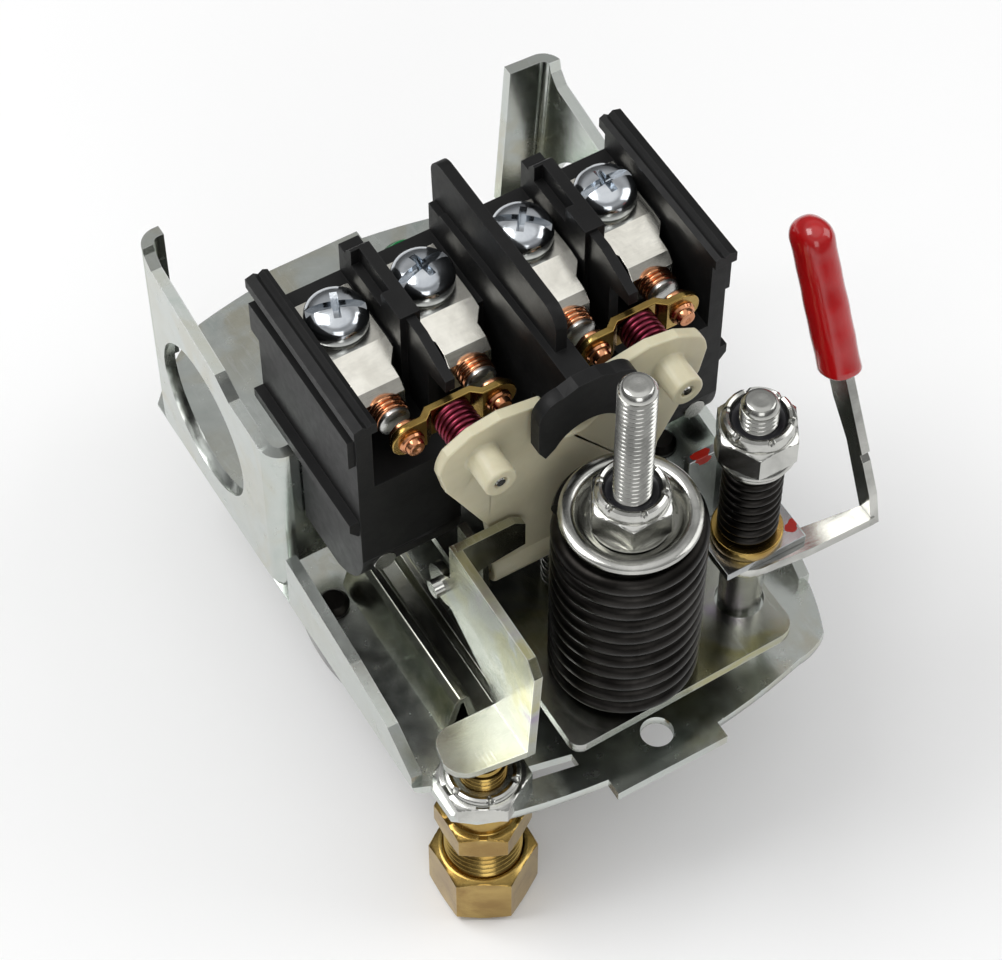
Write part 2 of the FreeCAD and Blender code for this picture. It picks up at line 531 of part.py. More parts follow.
# ---------------------------------------------------------------- contact block
def contact_block():
    body = new_body("contact_block")
    side = sketch(body, "YZ_Plane")
    outline(side, [("block_back", "31"), ("block_back", "block_top"), ("-block_front", "block_top"),
                   ("-block_front", "block_low + 9"), ("-9", "block_low", 10), ("-0.4", "block_low"),
                   ("-0.4", "31")])
    pad(body, side, "2 * block_half", both=True)
    bays = sketch(body, "XY_Plane", "block_top")
    for sign in "-", "":
        for inner, outer in (("fin", "barrier_in"), ("barrier_out", "block_half - wall")):
            low, high = (f"-({outer})", f"-({inner})") if sign else (inner, outer)
            rectangle(bays, low, "-20", high, "20")
    pocket(body, bays, "block_top - deck_z")
    chambers = sketch(body, "XY_Plane", "block_top")
    rectangle(chambers, "-(block_half - wall)", "-20", "-fin", "-bay_back")
    rectangle(chambers, "fin", "-20", "block_half - wall", "-bay_back")
    pocket(body, chambers, "block_top - bay_z")
    well = sketch(body, "XY_Plane", "block_top")
    rectangle(well, "-bay_in", "-20", "-fin", "-bay_back")
    rectangle(well, "fin", "-20", "bay_in", "-bay_back")
    pocket(body, well, "2 * block_top")
    for sign in -1, 1:
        thick = sketch(body, "YZ_Plane", f"{sign} * barrier_in")
        outline(thick, [("7.2", "deck_z - 2"), ("7.2", "barrier_z - 1.2"), ("6.2", "barrier_z"),
                        ("-6.2", "barrier_z"),
                        ("-6.2", "bay_z - 0.5"), ("-4", "bay_z - 0.5"), ("-4", "deck_z - 2")])
        pad(body, thick, "barrier_out - barrier_in", reverse=sign < 0)
        recess = sketch(body, "XZ_Plane", "-5.8")
        edge = f"{sign} * barrier_in" if sign > 0 else "-barrier_out"
        rectangle(recess, f"{edge} - 0.1", "barrier_z - 2.6", f"{edge} + 1.2", "barrier_z + 1")
        pocket(body, recess, "7.4", reverse=True)
        thin = sketch(body, "YZ_Plane", f"{sign} * (barrier_in + 0.6)")
        outline(thin, [("-3", "deck_z - 4"), ("-3", "barrier_z - 0.6"), ("-9", "barrier_z - 0.6"),
                       ("-15.4", "54.2"),
                       ("-15.4", "52.2"), ("-11.2", "51.4"), ("-11.2", "bay_z - 0.5"),
                       ("-3", "bay_z - 0.5")])
        pad(body, thin, "1.3", reverse=sign < 0)
        rail = sketch(body, "XZ_Plane", "-block_back - 1")
        outline(rail, [(f"{sign} * (block_half - wall - 0.3)", "block_top - 1.6"),
                       (f"{sign} * (block_half + rail)", "block_top - 1.6"),
                       (f"{sign} * (block_half + rail)", "block_top"),
                       (f"{sign} * (block_half + rail - 1.2)", "block_top + 0.4"),
                       (f"{sign} * (block_half + rail - 1.8)", "block_top - 0.1"),
                       (f"{sign} * (block_half - wall + 0.4)", "block_top + 0.4"),
                       (f"{sign} * (block_half - wall - 0.3)", "block_top")])
        pad(body, rail, "block_back + block_front + 2")
        ledges = sketch(body, "XZ_Plane", "-block_back")
        outline(ledges, [(f"{sign} * (block_half - 0.5)", "31.6"), (f"{sign} * (block_half + 0.2)", "31.6"),
                         (f"{sign} * (block_half + 1.3)", "33"), (f"{sign} * (block_half + 1.3)", "34.6"),
                         (f"{sign} * (block_half - 0.5)", "34.6")])
        rectangle(ledges, f"{sign} * (block_half - 0.5)", "46.4", f"{sign} * (block_half + 0.9)", "51.6")
        pad(body, ledges, "block_back + block_front - 0.4")
    centre = sketch(body, "YZ_Plane")
    outline(centre, [("9.2", "deck_z - 2"), ("9.8", "60.2"), ("7.4", "centre_z", 2.7),
                     ("-17.2", "centre_z"), ("-19.6", "60", 2.7), ("-19.6", "49"), ("-16", "45"),
                     ("-16", "deck_z - 2")])
    pad(body, centre, "2 * centre_thin", both=True)
    foot = sketch(body, "YZ_Plane")
    outline(foot, [("8.4", "deck_z - 2"), ("7.4", "52.4"), ("6.2", "55.4"), ("-16", "56.2"),
                   ("-25.2", "56.2"), ("-25.2", "49"),
                   ("-block_front", "45"), ("-block_front", "deck_z - 2")])
    pad(body, foot, "2 * fin", both=True)
    bridge = sketch(body, "XZ_Plane", "24.3")
    outline(bridge, [("-7", "48"), ("-6", "46.2"), ("-4.6", "47.4"), ("4.6", "47.4", "-5.2"), ("6", "46.2"),
                     ("7", "48"), ("7", "53.4"), ("3.6", "56.8", 3.4), ("1.6", "57.6"),
                     ("-1.6", "57.6"), ("-3.6", "56.8"),
                     ("-7", "53.4", 3.4)])
    pad(body, bridge, "1.9")
    holes = sketch(body, "XY_Plane", "block_top")
    for x in "-screw_outer_x", "-screw_inner_x", "screw_inner_x", "screw_outer_x":
        circle(holes, x, "screw_y", "2")
    pocket(body, holes, "block_top - 43")
    rivets = sketch(body, "XZ_Plane")
    for x in "-23", "23":
        circle(rivets, x, "24", "fixing_r + slack")
    pocket(body, rivets, "40", both=True)
    put(body, "contact_block")


def terminals():
    for index, x in enumerate(TERMINALS, 1):
        body = new_body(f"terminal_strip_{index}")
        bent = sketch(body, "YZ_Plane")
        outline(bent, [("6", "deck_z"), ("6", "deck_z + strip"), ("-3.5", "deck_z + strip"), ("-9", "49.9"),
                       ("-10.2", "48.6"), ("-10.2", "44"), ("-9.2", "44"), ("-9.2", "48.2"), ("-8.4", "49"),
                       ("-bay_back", "deck_z")])
        pad(body, bent, "strip_wide", both=True)
        hole = sketch(body, "XY_Plane", "deck_z + strip")
        circle(hole, "0", "screw_y", "2.05")
        for edge in "-1", "1":
            outline(hole, [(f"{edge} * strip_wide / 2", "-5.2"), (f"{edge} * (strip_wide / 2 - 1.3)", "-7"),
                           (f"{edge} * (strip_wide / 2 - 1.3)", "-11"),
                           (f"{edge} * (strip_wide / 2 + 1)", "-11"),
                           (f"{edge} * (strip_wide / 2 + 1)", "-5.2")])
        pocket(body, hole, "20", both=True)
        put(body, f"terminal_strip_{index}", x)
    screws = []
    for x in TERMINALS:
        body = new_body("terminal_screw")
        turn(body, [("0", "-7.2"), ("1.5", "-7.2"), ("1.95", "-6.6"), ("1.95", "0"), ("3.5", "0"),
                    ("screw_r - 0.3", "0.9"),
                    ("screw_r", "1.2"), ("screw_r", "2.5"), ("screw_r - 1.1", "3.5"), ("1.8", "3.7"),
                    ("0", "3.7")])
        recess = sketch(body, "XY_Plane", "3.7")
        outline(recess, [("-2 * screw_r", "-0.6"), ("-0.6", "-0.6"), ("-0.6", "-2.2"), ("0.6", "-2.2"),
                         ("0.6", "-0.6"),
                         ("2 * screw_r", "-0.6"), ("2 * screw_r", "0.6"), ("0.6", "0.6"), ("0.6", "2.2"),
                         ("-0.6", "2.2"), ("-0.6", "0.6"), ("-2 * screw_r", "0.6")])
        pocket(body, recess, "1.1")
        screws.append(at(body, x, "screw_y", "deck_z + strip"))
    put(group(*screws), "terminal_screws")
    contacts = []
    for x in TERMINALS:
        body = new_body("fixed_contact")
        turn(body, [("0", "0"), ("contact_r", "0"), ("contact_r", "0.6"), ("contact_r - 0.25", "0.8"),
                    ("contact_r", "1"),
                    ("contact_r", "1.9"), ("contact_r - 0.3", "2.1"), ("contact_r - 0.3", "2.8"),
                    ("contact_r - 0.7", "3"),
                    ("0", "3")])
        body.Placement.Rotation = FreeCAD.Rotation(FreeCAD.Vector(1, 0, 0), 90)
        contacts.append(at(body, x, "-contact_y + 3", "contact_z"))
    put(group(*contacts), "fixed_contacts")


TERMINALS = ("-screw_outer_x", "-screw_inner_x", "screw_inner_x", "screw_outer_x")


def block_rivets():
    rivets = []
    for x in "-23", "23":
        body = new_body("rivet")
        turn(body, [("0", "-1.2"), ("1.8", "-1.1"), ("2.6", "-0.3"), ("2.6", "0"), ("fixing_r", "0"),
                    ("fixing_r", "block_front + plate"), ("0", "block_front + plate")])
        body.Placement.Rotation = FreeCAD.Rotation(FreeCAD.Vector(1, 0, 0), 90)
        rivets.append(at(body, x, "plate", "24"))
    put(group(*rivets), "block_rivets")
    body = screw("ground_screw", "4", "2.5", "1.95", "plate + 3.4", slot="1")
    put(body, "ground_screw", "11.5", "39.5", "plate")


# ---------------------------------------------------------------- small brackets on the base plate
def brackets():
    upright_bracket("cradle_bracket", "upright_x", "-hinge_y - 2.1", "-17.5", "27",
                    "-hinge_y", "hinge_z", "hinge_r")
    put(cylinder("hinge_r", "33.5"), "cradle_hinge_pin", "-19.5", "-hinge_y", "hinge_z", (0, 1, 0), 90)
    stop = new_body("stop_bracket")
    bent = sketch(stop, "YZ_Plane", "19")
    outline(bent, [("-27", "plate"), ("-20", "plate"), ("-20", "21"), ("-20 - sheet", "21"),
                   ("-20 - sheet", "plate + sheet"), ("-27", "plate + sheet")])
    pad(stop, bent, "4.5")
    put(stop, "stop_bracket")
    channel = new_body("channel_bracket")
    folded = sketch(channel, "XZ_Plane", "3")
    outline(folded, [("-23", "plate"), ("-21.7", "plate"), ("-20.3", "7"), ("-20", "7"), ("-19.1", "plate"),
                     ("-14", "plate"), ("-14", "4.4"), ("-15", "4.4"), ("-15.4", "2.8"), ("-18", "2.8"),
                     ("-19", "7.6"), ("-19.6", "8.4"), ("-20.6", "8.4"), ("-21.3", "7.6")])
    pad(channel, folded, "27")
    put(channel, "channel_bracket")


# ---------------------------------------------------------------- contact cradle and bars
def contact_cradle():
    body = new_body("contact_cradle")
    front = sketch(body, "XZ_Plane", "cradle_front - cradle_thick")
    outline(front, [("-11.8", "20.6"), ("11.8", "20.6"), ("11.8", "28"), ("12.4", "33"),
                    ("16.7", "41.5"), ("18", "44"),
                    ("18.9", "48"), ("17.7", "51.3", 6), ("14.5", "53.2"), ("10.4", "53.9"),
                    ("4.2", "52.7"),
                    ("4.2", "47.2"), ("-4.2", "47.2", "-4.25"), ("-4.2", "52.7"), ("-10.4", "53.9"),
                    ("-14.5", "53.2"), ("-17.7", "51.3"), ("-18.9", "48", 6), ("-18", "44"),
                    ("-16.7", "41.5"),
                    ("-12.4", "33"), ("-11.8", "28")])
    pad(body, front, "cradle_thick")
    knuckle = sketch(body, "YZ_Plane")
    circle(knuckle, "-hinge_y", "hinge_z", "2.6")
    pad(body, knuckle, "23.6", both=True)
    bore = sketch(body, "YZ_Plane")
    circle(bore, "-hinge_y", "hinge_z", "hinge_r + slack")
    pocket(body, bore, "40", both=True)
    bosses = sketch(body, "XZ_Plane", "cradle_front - 0.2")
    for x in "-guide_x", "guide_x":
        circle(bosses, x, "bar_z", "2.2")
    pad(body, bosses, "4.8")
    holes = sketch(body, "XZ_Plane", "cradle_front")
    for x in "-guide_x", "guide_x":
        circle(holes, x, "bar_z", "0.85")
    pocket(body, holes, "20", both=True)
    put(body, "contact_cradle")
    pins = []
    for x in "-guide_x", "guide_x":
        pin = new_body("guide_pin")
        turn(pin, [("0", "0"), ("1.2", "0"), ("1.3", "0.2"), ("1.3", "0.7"), ("0.8", "0.75"),
                   ("0.8", "13.3"),
                   ("0.6", "13.6"), ("0", "13.6")])
        pin.Placement.Rotation = FreeCAD.Rotation(FreeCAD.Vector(1, 0, 0), 90)
        pins.append(at(pin, x, "-bar_y + bar_thick + 0.8", "bar_z"))
    put(group(*pins), "guide_pins")


def contact_bars():
    for side, sign in SIDES:
        x = f"{sign} * guide_x"
        body = new_body(f"contact_bar_{side}")
        plan = sketch(body, "XY_Plane")
        outline(plan, [("-8.6", "-bar_thick"), ("-3.9", "-bar_thick"), ("-2.7", "0"), ("2.7", "0"),
                       ("3.9", "-bar_thick"),
                       ("8.6", "-bar_thick"), ("8.6", "0"), ("4.3", "0"), ("3.1", "bar_thick"),
                       ("-3.1", "bar_thick"),
                       ("-4.3", "0"), ("-8.6", "0")])
        pad(body, plan, "2 * bar_r", both=True)
        rounded(body, "bar_r - 0.05", *[(x_end, "-bar_thick / 2", z_end) for x_end in ("-8.6", "8.6")
                                        for z_end in ("-bar_r", "bar_r")])
        holes = sketch(body, "XZ_Plane")
        circle(holes, "0", "0", "0.88")
        for x_hole in "-half_pitch", "half_pitch":
            circle(holes, x_hole, "-0.3", "1.05")
        pocket(body, holes, "6", both=True)
        put(body, f"contact_bar_{side}", x, "-bar_y", "bar_z")
        contacts = []
        for x_hole in "-half_pitch", "half_pitch":
            rivet = new_body("moving_contact")
            turn(rivet, [("0", "-1.3"), ("1.4", "-1.3"), ("1.7", "-1"), ("1.7", "0"), ("1", "0"),
                         ("1", "bar_thick"),
                         ("1.6", "bar_thick"), ("1.3", "bar_thick + 0.8"), ("0", "bar_thick + 1")])
            rivet.Placement.Rotation = FreeCAD.Rotation(FreeCAD.Vector(1, 0, 0), 90)
            contacts.append(at(rivet, x_hole, "0", "-0.3"))
        put(group(*contacts), f"moving_contacts_{side}", x, "-bar_y", "bar_z")
        spring = coil("2.25", "0.33", "slack", "cradle_front - cradle_thick - bar_y - bar_give", 4)
        put(spring, f"contact_spring_{side}", x, "-bar_y", "bar_z", (1, 0, 0), 90)


# ---------------------------------------------------------------- unloader arm and valve
def unloader_arm():
    body = new_body("unloader_arm")
    web = sketch(body, "YZ_Plane", "-arm_x")
    outline(web, [("-42.6", "tab_z"), ("-34.4", "tab_z"), ("-33.2", "14.5"), ("-24", "19.8"),
                  ("-21.5", "19.6"),
                  ("-21.5", "24.6"), ("-23.8", "26.6"), ("-23.8", "33.6"), ("-42.4", "33"),
                  ("-44", "30.6")])
    pad(body, web, "sheet")
    eye = sketch(body, "YZ_Plane", "-arm_x")
    circle(eye, "-hinge_y", "hinge_z", "3")
    pad(body, eye, "sheet")
    tab = sketch(body, "XY_Plane", "tab_z")
    outline(tab, [("-arm_x + 0.3", "-42.6"), ("-arm_x + 0.3", "-34.4"), ("-25", "-34.2"),
                  ("-27.5", "-36", 2.8),
                  ("-28", "-38.6"), ("-25", "-41.7", 3.4)])
    pad(body, tab, "sheet")
    flange = sketch(body, "XZ_Plane", "23.8")
    outline(flange, [("-arm_x + 0.5", "26.6"), ("-8", "28"), ("-8", "32.4"), ("-9.5", "33.6"),
                     ("-arm_x + 0.5", "33.6")])
    pad(body, flange, "sheet")
    bore = sketch(body, "YZ_Plane")
    circle(bore, "-hinge_y", "hinge_z", "hinge_r + slack")
    pocket(body, bore, "60", both=True)
    put(body, "unloader_arm")


def unloader_valve():
    valve = new_body("valve_body")
    turn(valve, [("1.25", "-4"), ("2.6", "-4.5"), ("2.6", "-15.5"), ("2", "-15.5"), ("2", "-17"),
                 ("thread_r - 0.5", "-17"),
                 ("thread_r", "-16.5"), ("thread_r", "-7"), ("4.7", "-6.5"), ("4.7", "0"), ("neck_r", "0"),
                 ("neck_r", "neck_top - 0.5"), ("neck_r - 0.5", "neck_top"), ("1.25", "neck_top")])
    flats = sketch(valve, "XY_Plane", "-7.8")
    hexagon(flats, "valve_af", corners_on_y=True)
    circle(flats, "0", "0", "thread_r - 1")
    pad(valve, flats, "4.4")
    put(valve, "valve_body", "-valve_x", "-valve_y")

    nut = new_body("valve_lock_nut")
    flats = sketch(nut, "XY_Plane")
    hexagon(flats, "valve_af", corners_on_y=True)
    circle(flats, "0", "0", "neck_r + slack")
    pad(nut, flats, "2.8")
    turn(nut, [("neck_r + slack", "2"), ("valve_af / 2 - 0.5", "2"), ("valve_af / 2 - 0.7", "3.4"),
               ("valve_af / 2 - 1.1", "3.8"), ("neck_r + slack", "3.8")])
    turn(nut, [("valve_af / 2 - 0.3", "2.9"), ("valve_af", "2.9"), ("valve_af", "-0.4")], groove=True)
    put(nut, "valve_lock_nut", "-valve_x", "-valve_y", "plate")

    nut = new_body("compression_nut")
    flats = sketch(nut, "XY_Plane")
    hexagon(flats, "valve_nut_af", corners_on_y=True)
    circle(flats, "0", "0", "tube_r")
    pad(nut, flats, "9.7")
    turn(nut, [("0", "10"), ("thread_r + slack", "10"), ("thread_r + slack", "4.5"), ("tube_r", "2.5"),
               ("0", "2.5")],
         groove=True)
    for foot, side in ("0", 1), ("9.7", -1):
        turn(nut, [("valve_nut_af / 2 - 0.3", foot), ("valve_nut_af", foot),
                   ("valve_nut_af", f"{foot} + {side} * 3.7")],
             groove=True)
    put(nut, "compression_nut", "-valve_x", "-valve_y", "-nut_low")

    sleeve = new_body("compression_sleeve")
    turn(sleeve, [("tube_r", "-17.1"), ("4.4", "-17.1"), ("4.4", "-19.1"), ("3.55", "-20.6"),
                  ("tube_r", "-20.6")])
    put(sleeve, "compression_sleeve", "-valve_x", "-valve_y")

    stem = new_body("valve_stem")
    turn(stem, [("0", "-8"), ("2.2", "-8"), ("2.2", "-6.6"), ("1.2", "-6"), ("1.2", "tab_z - 0.4"),
                ("0.9", "tab_z - slack"), ("0", "tab_z - slack")])
    put(stem, "valve_stem", "-valve_x", "-valve_y")
    put(coil("1.8", "0.4", "-15.45", "-8.05", 5), "valve_spring", "-valve_x", "-valve_y")


# ---------------------------------------------------------------- off lever
def off_lever():
    leg_x = "leg_x - diff_x"
    body = new_body("off_lever")
    eye = sketch(body, "XY_Plane")
    circle(eye, "0", "0", "5")
    pad(body, eye, "off_thick")
    strip = sketch(body, "XY_Plane")
    outline(strip, [("0", "-5"), ("6", "-5.6"), (f"{leg_x} + leg_thick - 0.6", "-5.8"),
                    (f"{leg_x} + leg_thick - 0.6", "-3.4"), ("5", "-2"), ("0", "-1.5")])
    pad(body, strip, "off_thick")
    leg = sketch(body, "YZ_Plane", leg_x, (0, 0, 1), -SIZES["leg_lean"])
    outline(leg, [("-5.4", "-2.4"), ("-3.3", "-1.5"), ("-3.7", "10"), ("-leg_back", "16"),
                  ("-leg_back", "leg_long"),
                  ("-leg_back - leg_wide", "leg_long"), ("-leg_back - leg_wide", "9"),
                  ("-leg_back - leg_wide + 0.6", "8.6"),
                  ("-leg_back - leg_wide + 0.3", "7.6"), ("-6.6", "2.5")])
    pad(body, leg, "leg_thick")
    bore = sketch(body, "XY_Plane")
    circle(bore, "0", "0", "shank_r + slack")
    pocket(body, bore, "8", both=True)
    put(body, "off_lever", "diff_x", "-stud_y", "off_z")

    grip = new_body("lever_grip")
    across = sketch(grip, "XY_Plane", "grip_low")
    half, end = f"({leg_x} + leg_thick / 2)", "grip_thick / 2"
    middle, reach = "-(leg_back + leg_wide / 2)", "(grip_wide - grip_thick) / 2"
    outline(across, [(f"{half} + {end}", f"{middle} - {reach}"), (f"{half} + {end}", f"{middle} + {reach}"),
                     (f"{half} - {end}", f"{middle} + {reach}", "grip_thick / 2 + 0.01"),
                     (f"{half} - {end}", f"{middle} - {reach}"),
                     (f"{half} + {end}", f"{middle} - {reach}", "grip_thick / 2 + 0.01")][1:])
    pad(grip, across, "grip_long")
    rounded(grip, "grip_thick / 2 - 0.15", (f"{half} + {end}", middle, "grip_low + grip_long"))
    rounded(grip, "0.9", (f"{half} + {end}", middle, "grip_low"))
    hollow = sketch(grip, "XY_Plane", "grip_low - 1")
    rectangle(hollow, f"{leg_x} - 0.02", "-leg_back - leg_wide - 0.02",
              f"{leg_x} + leg_thick + 0.02", "-leg_back + 0.02")
    pocket(grip, hollow, "leg_long - grip_low + 1.05", reverse=True)
    put(grip, "lever_grip", "diff_x", "-stud_y", "off_z", (1, 0, 0), -SIZES["leg_lean"])


base_plate()
pressure_flange()
diaphragm()
diaphragm_follower()
flange_screws()
main_lever()
lever_hinge()
range_assembly()
differential_assembly()
contact_block()
terminals()
block_rivets()
brackets()
contact_cradle()
contact_bars()
put(coil("2.6", "0.5", "lever_z + plate + slack", "19.35", 4), "snap_spring", y="-hinge_y")
unloader_arm()
unloader_valve()
off_lever()
doc.recompute()

os.makedirs("parts", exist_ok=True)
for thing in doc.Objects:
    for problem in "Invalid", "Error":
        if problem in thing.State:
            raise RuntimeError(f"{thing.Label}: {problem}")
for piece in pieces:
    if piece.Shape.isNull() or not piece.Shape.isValid():
        raise RuntimeError(f"{piece.Label} has no valid shape")
    piece.Shape.exportStep(f"parts/{piece.Label}.step")
print(len(pieces), "pieces")
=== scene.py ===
import bpy
import bmesh
import json
import math
from mathutils import Matrix, Vector


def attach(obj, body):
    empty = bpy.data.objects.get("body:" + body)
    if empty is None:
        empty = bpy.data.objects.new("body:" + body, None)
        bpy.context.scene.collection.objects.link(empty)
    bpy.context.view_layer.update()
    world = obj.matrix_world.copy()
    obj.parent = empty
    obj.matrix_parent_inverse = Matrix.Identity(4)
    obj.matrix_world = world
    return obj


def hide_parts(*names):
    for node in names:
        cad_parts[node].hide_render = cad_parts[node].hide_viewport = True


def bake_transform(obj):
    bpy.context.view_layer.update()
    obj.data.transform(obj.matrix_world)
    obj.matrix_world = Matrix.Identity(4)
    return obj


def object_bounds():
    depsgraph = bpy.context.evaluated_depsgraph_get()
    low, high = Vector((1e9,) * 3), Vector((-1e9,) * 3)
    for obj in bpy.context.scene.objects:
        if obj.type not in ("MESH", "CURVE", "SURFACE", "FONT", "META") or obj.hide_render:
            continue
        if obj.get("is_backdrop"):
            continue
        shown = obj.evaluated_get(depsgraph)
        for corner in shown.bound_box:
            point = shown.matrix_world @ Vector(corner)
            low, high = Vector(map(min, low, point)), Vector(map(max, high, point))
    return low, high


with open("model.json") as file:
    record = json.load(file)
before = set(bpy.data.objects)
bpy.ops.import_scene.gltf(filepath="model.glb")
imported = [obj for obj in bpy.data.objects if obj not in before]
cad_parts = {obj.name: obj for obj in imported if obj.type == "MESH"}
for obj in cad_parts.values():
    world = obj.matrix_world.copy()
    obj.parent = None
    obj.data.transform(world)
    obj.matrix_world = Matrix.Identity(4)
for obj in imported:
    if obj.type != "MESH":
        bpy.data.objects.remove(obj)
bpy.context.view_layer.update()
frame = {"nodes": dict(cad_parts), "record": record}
NODES = frame["nodes"]
MM = 0.001
PORT_SETBACK, PORT_DEPTH = 8, 24
TURN_Y = Matrix.Rotation(math.radians(90), 4, "X")
BODY_OF = {node: body for body, nodes in frame["record"]["behaviour"]["bodies"].items() for node in nodes}


def at(x, y, z):
    """A point given in the base plate's own millimetres, in the row frame."""
    return Vector((x, y + PORT_SETBACK, z + PORT_DEPTH)) * MM


# ---------------------------------------------------------------- materials
class Nodes:
    """A small wrapper round one material's node tree."""

    def __init__(self, name):
        self.material = bpy.data.materials.new(name)
        self.material.use_nodes = True
        self.tree = self.material.node_tree
        self.shader = self.tree.nodes["Principled BSDF"]
        self.place = self.add("ShaderNodeTexCoord").outputs["Object"]

    def add(self, kind, inputs=(), **settings):
        node = self.tree.nodes.new(kind)
        for key, value in settings.items():
            setattr(node, key, value)
        for key, value in dict(inputs).items():
            self.feed(node.inputs[key], value)
        return node

    def feed(self, socket, value):
        if isinstance(value, bpy.types.NodeSocket):
            self.tree.links.new(value, socket)
        else:
            socket.default_value = value

    def scaled(self, scale):
        return self.add("ShaderNodeMapping", {"Vector": self.place, "Scale": scale}).outputs[0]

    def noise(self, scale, detail=4, roughness=0.55, distortion=0, vector=None):
        node = self.add("ShaderNodeTexNoise", {
            "Vector": vector or self.place, "Scale": scale, "Detail": detail, "Roughness": roughness,
            "Distortion": distortion})
        return node.outputs["Fac"]

    def ramp(self, value, stops):
        node = self.add("ShaderNodeValToRGB", {"Fac": value})
        elements = node.color_ramp.elements
        while len(elements) < len(stops):
            elements.new(0.5)
        for element, (place, colour) in zip(elements, stops):
            element.position = place
            element.color = (*colour, 1) if isinstance(colour, tuple) else (colour, colour, colour, 1)
        node.color_ramp.interpolation = "EASE"
        return node.outputs["Color"]

    def mix(self, factor, one, other):
        node = self.add("ShaderNodeMix", data_type="RGBA")
        self.feed(node.inputs[0], factor)
        for socket, value in ((node.inputs[6], one), (node.inputs[7], other)):
            self.feed(socket, (*value, 1) if isinstance(value, tuple) and len(value) == 3 else value)
        return node.outputs[2]

    def math(self, operation, one, other=0.0):
        node = self.add("ShaderNodeMath", operation=operation)
        self.feed(node.inputs[0], one)
        self.feed(node.inputs[1], other)
        return node.outputs[0]

    def bump(self, height, distance, strength=1.0, normal=None):
        node = self.add("ShaderNodeBump", {"Height": height, "Distance": distance, "Strength": strength})
        if normal:
            self.feed(node.inputs["Normal"], normal)
        return node.outputs[0]

    def edge_highlight_and_wear(self, radius=0.0004):
        """1 on edges and 0 on faces, from the difference between the rounded and the true normal; used to
        paint edges brighter, as painted highlight and wear.
        """
        round_normal = self.add("ShaderNodeBevel", {"Radius": radius}, samples=4).outputs[0]
        true = self.add("ShaderNodeNewGeometry").outputs["Normal"]
        dot = self.add("ShaderNodeVectorMath", operation="DOT_PRODUCT")
        self.feed(dot.inputs[0], round_normal)
        self.feed(dot.inputs[1], true)
        return self.math("MULTIPLY", self.math("SUBTRACT", 1.0, dot.outputs["Value"]), 6.0)

    def finish(self, colour, roughness, metallic=0.0, normal=None, **more):
        self.feed(self.shader.inputs["Base Color"], (*colour, 1) if isinstance(colour, tuple) else colour)
        self.feed(self.shader.inputs["Roughness"], roughness)
        self.feed(self.shader.inputs["Metallic"], metallic)
        if normal:
            self.feed(self.shader.inputs["Normal"], normal)
        for name, value in more.items():
            self.feed(self.shader.inputs[name.replace("_", " ")], value)
        return self.material


def plated_sheet(name, pale, tint_one, tint_two, tint, rough):
    """Zinc-plated sheet: cloudy passivation tints, a rolled grain, fine scratches and edges painted
    brighter, as painted highlight and wear.
    """
    n = Nodes(name)
    cloud = n.noise(60, 4, 0.55, 1.2)
    patch = n.noise(34, 3, 0.5, 1.4)
    colour = n.ramp(cloud, [(0.30, tint_one), (0.44, pale), (0.56, tint_two), (0.70, pale)])
    colour = n.mix(n.math("MULTIPLY", n.ramp(patch, [(0.35, 0.0), (0.68, 1.0)]), tint), pale, colour)
    grain = n.noise(1, 3, 0.6, 0, n.scaled((900, 9000, 9000)))
    scratch = n.noise(1, 2, 0.5, 0.4, n.scaled((2600, 260, 2600)))
    lines = n.ramp(scratch, [(0.60, 0.0), (0.68, 1.0)])
    colour = n.mix(n.math("MULTIPLY", lines, 0.2), colour, (0.66, 0.67, 0.67))
    # Edges painted brighter and paler: a painted highlight along the edges, together with wear.
    edge = n.ramp(n.edge_highlight_and_wear(0.00035), [(0.1, 0.0), (0.9, 1.0)])
    colour = n.mix(n.math("MULTIPLY", edge, 0.5), colour, (0.78, 0.79, 0.79))
    roughness = n.math("ADD", rough, n.math("MULTIPLY", n.math("SUBTRACT", n.noise(420, 4), 0.5), 0.22))
    normal = n.bump(grain, 0.00002, 0.35)
    normal = n.bump(n.noise(260, 3), 0.00006, 0.35, normal)
    return n.finish(colour, roughness, 1.0, normal)


STREAK = (400, 6000, 6000)


def metal_look(n, pale, dark, rough, grain):
    """Colour, roughness and normal of a bright metal: cloudy, finely streaked, and painted brighter on its
    edges as painted highlight and wear.
    """
    cloud = n.noise(140, 4, 0.6, 0.5)
    colour = n.mix(n.ramp(cloud, [(0.35, 0.0), (0.7, 1.0)]), pale, dark)
    lines = n.noise(1, 3, 0.6, 0, n.scaled(STREAK))
    # Edges painted in a lighter copy of the metal's colour: a painted highlight along the edges, together
    # with wear.
    edge = n.ramp(n.edge_highlight_and_wear(0.0002), [(0.1, 0.0), (0.9, 1.0)])
    colour = n.mix(n.math("MULTIPLY", edge, 0.4), colour, tuple(min(1, 1.2 * c) for c in pale))
    roughness = n.math("ADD", rough, n.math("MULTIPLY", n.math("SUBTRACT", lines, 0.5), 0.2))
    normal = n.bump(lines, 0.000012, grain)
    normal = n.bump(n.noise(500, 3), 0.00002, 0.4, normal)
    return colour, roughness, normal


def bright_metal(name, pale, dark, rough, grain):
    n = Nodes(name)
    colour, roughness, normal = metal_look(n, pale, dark, rough, grain)
    return n.finish(colour, roughness, 1.0, normal)


